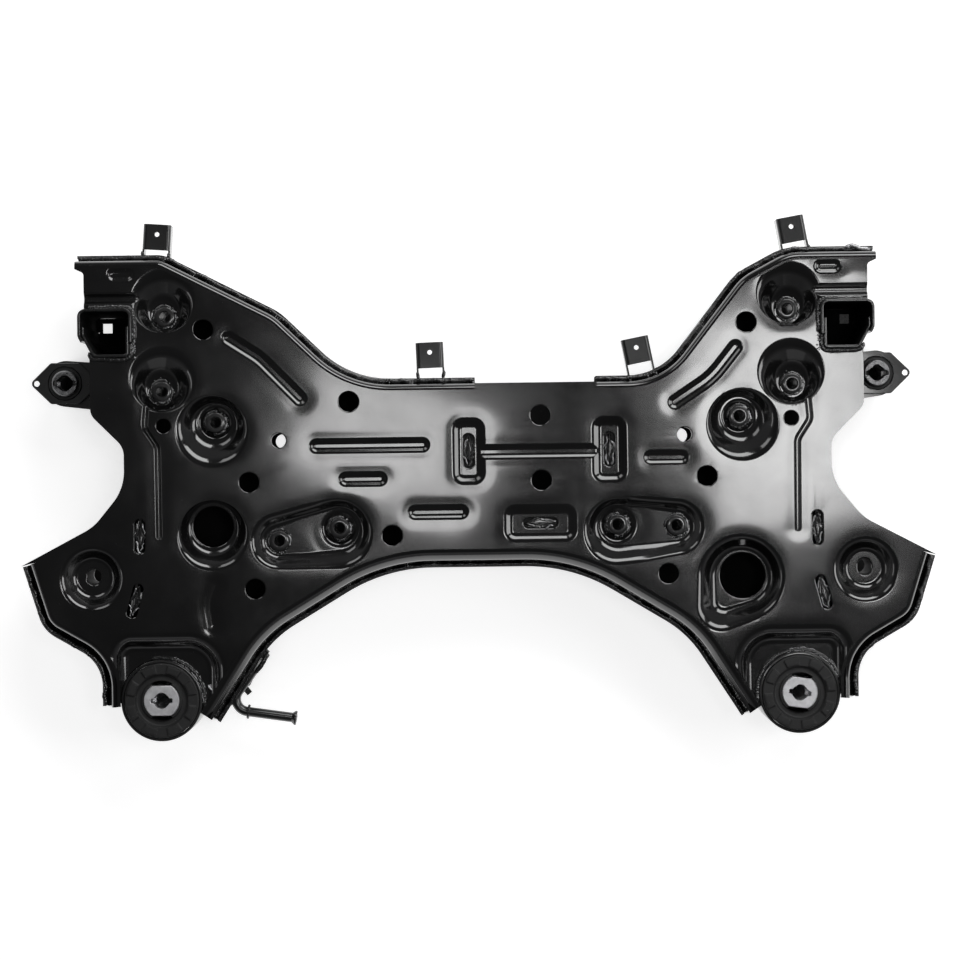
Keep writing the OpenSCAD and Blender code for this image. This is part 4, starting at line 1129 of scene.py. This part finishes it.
def rodMesh(look):
    rod, wide = look["r"], look["headR"]
    a, b, c = (np.array(p, float) for p in look["corners"])
    line = roundPath([(*a, 0), (*b, look["bend"]), (*c, 0)], 5)
    u = unitRows(c - b)
    bendEnd, second = line[-2], np.linalg.norm(line[-1] - line[-2])
    rows = [(a + unitRows(b - a) * d, unitRows(b - a), r) for d, r in ((0, rod - 1), (0.4, rod - 0.3), (1, rod))]
    for i in range(1, len(line) - 1):
        rows.append((line[i], unitRows(line[i + 1] - line[i - 1]), rod))
    rows[-1] = (bendEnd, u, rod)
    half, edge = look["collar"] / 2, 0.4
    steps = [(-half, rod), (-half, wide - edge), (-half + edge, wide), (half - edge, wide), (half, wide - edge),
             (half, rod)]
    steps = [(d + half + 0.4, r) for d, r in steps]
    end = second - look["head"] - look["taper"]
    steps += [(end * k / 6, rod) for k in range(1, 7)]
    steps += [(second - look["head"] - 0.6, wide - 0.5), (second - look["head"], wide), (second - 0.5, wide),
              (second, wide - 0.6), (second, rod - 0.8), (second - 0.8, rod - 1.2)]
    rows += [(bendEnd + u * d, u, r) for d, r in steps]
    points = [(*p, look["z"]) for p, t, r in rows]
    return sweepMesh(points, [r for p, t, r in rows], 32, 1.0, [(*t, 0) for p, t, r in rows])


standIn("hanger_rod", rodMesh(rodLook), tabCoat, "bracket_steel")
rodWelds = [weldBead([(-216.4, -178.6, 45), (-222, -187, 45.5), (-231, -199.5, 45)], 2.5, 2.6),
            weldBead([(-221, -175.5, 44), (-216, -177.5, 44.5)], 2.2, 2.4),
            weldBead([(-243, -214, 35.5), (-238, -210.5, 35.5), (-235, -205, 35.5)], 1.6, 2.2)]
newPiece("hanger_welds", *joinParts(rodWelds), weldCoat, "bracket_steel")
print("hanger rod made")


# seam beads, plug welds and spatter

seamLook = {"z": 88, "archZ": 75, "offset": -2.6, "bead": 2.2, "archShare": 0.7, "pitch": 2.8,
            "patchDrops": 14, "drops": 70}
seamEdges = [(path, seamLook["z"], 1) for path in (frontLeftEdge, frontRightEdge, wingEdge)]
seamEdges += [(archEdge, seamLook["archZ"], seamLook["archShare"]), (flipPath(wingEdge), seamLook["z"], 1)]
seamRows = [levelPath(offsetPath(path, seamLook["offset"]), z) for path, z, _ in seamEdges]
seams = [weldBead(row, seamLook["bead"] * share, seamLook["pitch"], 0.85, 0.45)
         for row, (_, _, share) in zip(seamRows, seamEdges)]
newPiece("seam_welds", *joinParts(seams), weldCoat, "shell_steel")

plugLook = {"half": 5.6, "tip": 1.4, "reach": 14.6, "edge": 0.75, "rise": 1.5, "pocketZ": 106.1, "wingZ": 106.6,
            "drops": 16, "edgeStarts": (2, 22, 40, 54)}


def lensLoop(look, share):
    reach, tip = look["reach"] * (0.4 + 0.6 * share), look["tip"] * share
    return discLoop([(0, -reach, tip), (0, 0, look["half"] * share), (0, reach, tip)], 56)


def plugMesh(look):
    outline = lensLoop(look, 1)
    rows = [levelPath(outline, 0.0)]
    for share in (0.9, 0.72, 0.5, 0.28, 0.08):
        ring = lensLoop(look, share)
        lumps = np.array([rng.gauss(0, 0.28) for _ in ring])
        swell = look["rise"] * math.sqrt(1 - share * share) + 0.45 * math.sin(9 * share)
        rows.append(np.column_stack((ring + lumps[:, None] * 0.35, swell + lumps)))
    m = len(outline)
    faces = gridFaces(len(rows), m)
    faces.append(tuple((len(rows) - 1) * m + i for i in range(m)))
    return np.vstack(rows), faces


pools, glints = [], []
plugs = [(x, y, turn, plugLook["pocketZ"]) for x, y, turn in pocketSlots]
plugs += [(s * x, y, s * turn, plugLook["wingZ"]) for x, y, turn in wingSlots for s in (-1, 1)]
for x, y, turn, z in plugs:
    verts, faces = plugMesh(plugLook)
    verts[:, 2] += z
    pools.append(moved((verts, faces), x, y, turn))
    rim = evenPath(lensLoop(plugLook, 1), 1.0, True)
    for start in plugLook["edgeStarts"]:
        arc = np.take(rim, range(start, start + rng.randint(9, 14)), axis=0, mode="wrap")
        bead = weldBead(levelPath(arc, z + 1.1), plugLook["edge"] * rng.uniform(0.7, 1.3), 1.7, 0.8, 0.6, 7)
        (glints if rng.random() < 0.5 else pools).append(moved(bead, x, y, turn))
    for _ in range(plugLook["drops"]):
        q, r = rng.uniform(0, 2 * math.pi), rng.uniform(1.15, 1.7)
        at = (plugLook["half"] * r * math.cos(q), (plugLook["reach"] + 5) * (0.45 + 0.4 * r) * math.sin(q))
        pools.append(moved(dropletMesh(*at, z + 2.4, rng.uniform(0.2, 0.55)), x, y, turn))
newPiece("plug_welds", *joinParts(pools), weldCoat, "shell_steel")
newPiece("plug_glints", *joinParts(glints), weldSilver, "shell_steel")

patch = np.array([(-262.5, -221.2), (-260.4, -213.2), (-262.8, -206.6), (-267.4, -204.8), (-274.2, -206.2),
                  (-270.4, -211.6), (-266.6, -216.6)])
patchEdge = [(-274.6, -206.8, 96.4), (-268.4, -214.2, 96.7), (-262.4, -221.8, 96.4)]
hornRun = [(372, 226, 90.5), (384, 225.5, 91), (398, 224, 90)]
tacks = [prismMesh(evenPath(patch, 1.2, True), 95.6, 96.7, 0.35), weldBead(patchEdge, 0.9, 1.8, 0.8, 0.25),
         weldBead(hornRun, 2.2, 2.4, 0.8, 0.8)]
for _ in range(seamLook["patchDrops"]):
    tacks.append(dropletMesh(rng.uniform(-268, -261.5), rng.uniform(-214, -205.5), 96.9, rng.uniform(0.3, 0.9)))
for _ in range(seamLook["drops"]):
    row = rng.choice(seamRows)
    at = rng.choice(list(row))
    x, y = at[0] + rng.uniform(-2, 2), at[1] + rng.uniform(-2, 2)
    tacks.append(dropletMesh(x, y, at[2] + 1.8, rng.uniform(0.25, 0.7)))
newPiece("bright_tacks", *joinParts(tacks), weldSilver, "shell_steel")
print("welds made")


# finishes for the solids that are kept as they are

keptFinishes = {"inner_steel": innerCoat, "tower_steel": towerCoat, "mount_steel": mountCoat, "bush_rubber": bushRubber,
                "core_metal": coreMetal, "bracket_steel": tabCoat, "shell_steel": shellCoat}
for row in frame["record"]["subparts"]:
    node = frame["nodes"].get(row["node"])
    if node is not None:
        node.data.materials.clear()
        lined = row["node"].startswith("tower_end_plate")
        node.data.materials.append(shellInside if lined else keptFinishes[row["material_slot"]])


# floor and studio light

studio = {"floor": 0.6, "floorGlow": 0.8, "floorHalf": 9, "horizon": 0.2, "overhead": 0.05, "shadeReach": 0.15,
          # painted light spots on the floor below the open holes, and their reach
          "openSpots": [(-0.2048, 0.0392), (0.2129, 0.0402), (-0.383, 0.1585)],  # in metres
          # painted shade spots on the floor below the bolt bores: their edge, parallax scale and the extra bores
          "spotReach": (0.0135, 0.011), "boreShade": (0.012, 0.018), "boreReach": 1.03,
          "boresToo": [(386, -99), (-392, -98), (408, 100), (-420, 100)],  # in millimetres
          "lamps": [("overLeft", (-0.19, 0.08, 3.3), (0.27, 0.42), 2.5),  # name, place, size, power
                    ("overRight", (0.68, 0.13, 3.3), (0.48, 0.4), 5.6),
                    ("frontWall", (1.1, 2.5, 2.3), (2.7, 1.3), 56), ("rightWall", (2.6, 0.3, 2.3), (1.6, 1.3), 26),
                    ("frontLeft", (-1.7, 2.2, 2.3), (1.2, 1.2), 10),
                    ("rearWall", (0, -2.9, 1.0), (2.6, 0.5), 0.8), ("leftWall", (-2.9, 0, 1.0), (1.6, 0.4), 3)]}


def floorMaterial():
    material, tree, shader = shaderNodes("paleFloor")
    shader.inputs["Roughness"].default_value = 0.9
    glow = addNode(tree, "ShaderNodeEmission", Strength=studio["floorGlow"])
    closeness = addNode(tree, "ShaderNodeAmbientOcclusion", samples=8, Distance=studio["shadeReach"])
    paintedShadeRamp = rampField(tree, closeness.outputs["AO"], 0.1, 0.42, (0, 0, 0), (1, 1, 1))  # painted shade under the part, from ambient occlusion
    spot = addNode(tree, "ShaderNodeNewGeometry")
    # clear is the painted light level: 0 under painted shade, 1 where the floor stays bright
    clear = paintedShadeRamp.outputs["Color"]
    reach = studio["boreReach"] * mm
    bores = [place[:2] for place in spacers.values()] + studio["boresToo"]
    paintedSpots = [(x * reach, y * reach, studio["boreShade"], "MINIMUM") for x, y in bores]
    paintedSpots += [(x, y, studio["spotReach"], "MAXIMUM") for x, y in studio["openSpots"]]
    for x, y, edge, blend in paintedSpots:  # painted shade below the bolt bores, painted light below the open holes
        away = addNode(tree, "ShaderNodeVectorMath", operation="DISTANCE")
        away.inputs[1].default_value = (x, y, 0)
        tree.links.new(spot.outputs["Position"], away.inputs[0])
        near = addNode(tree, "ShaderNodeMapRange")
        near.inputs["From Min"].default_value, near.inputs["From Max"].default_value = edge
        tree.links.new(away.outputs["Value"], near.inputs["Value"])
        clear = mathField(tree, blend, clear, near.outputs[0])
    # the floor's colour and its glow are both scaled by this painted shade and painted light level
    tone = addNode(tree, "ShaderNodeMath", operation="MULTIPLY")
    tone.inputs[1].default_value = studio["floor"]
    path = addNode(tree, "ShaderNodeLightPath")
    seen = mathField(tree, "MAXIMUM", path.outputs["Is Camera Ray"], path.outputs["Is Glossy Ray"])
    seen = mathField(tree, "MAXIMUM", seen, path.outputs["Is Transmission Ray"])
    mix = addNode(tree, "ShaderNodeMixShader")
    add = addNode(tree, "ShaderNodeAddShader")
    surface = tree.nodes["Material Output"].inputs["Surface"]
    for source, target in ((clear, tone.inputs[0]), (clear, glow.inputs["Color"]),
                           (tone.outputs[0], shader.inputs["Base Color"]), (shader.outputs[0], add.inputs[0]),
                           (glow.outputs[0], add.inputs[1]), (seen, mix.inputs[0]), (shader.outputs[0], mix.inputs[1]),
                           (add.outputs[0], mix.inputs[2]), (mix.outputs[0], surface)):
        tree.links.new(source, target)
    return material


floorMesh = bpy.data.meshes.new("paleFloor")
corners = [(s * studio["floorHalf"], t * studio["floorHalf"], 0) for s, t in ((-1, -1), (1, -1), (1, 1), (-1, 1))]
floorMesh.from_pydata(corners, [], [(0, 1, 2, 3)])
floorPiece = bpy.data.objects.new("paleFloor", floorMesh)
floorPiece.data.materials.append(floorMaterial())
scene.collection.objects.link(floorPiece)

world = bpy.data.worlds.new("studioWorld")
scene.world = world
world.use_nodes = True
direction = addNode(world.node_tree, "ShaderNodeTexCoord")
height = addNode(world.node_tree, "ShaderNodeSeparateXYZ")
world.node_tree.links.new(direction.outputs["Generated"], height.inputs[0])
walls = rampField(world.node_tree, height.outputs["Z"], 0.1, 0.6, grey(studio["horizon"]), grey(studio["overhead"]))
world.node_tree.links.new(walls.outputs["Color"], world.node_tree.nodes["Background"].inputs["Color"])

for name, place, size, power in studio["lamps"]:
    lamp = bpy.data.lights.new(name, "AREA")
    lamp.shape = "RECTANGLE"
    lamp.size, lamp.size_y = size
    lamp.energy = power
    lampObject = bpy.data.objects.new(name, lamp)
    lampObject.location = place
    lampObject.rotation_euler = Vector((-place[0], -place[1], 0.1 - place[2])).to_track_quat("-Z", "Y").to_euler()
    scene.collection.objects.link(lampObject)
print("floor and lamps set")
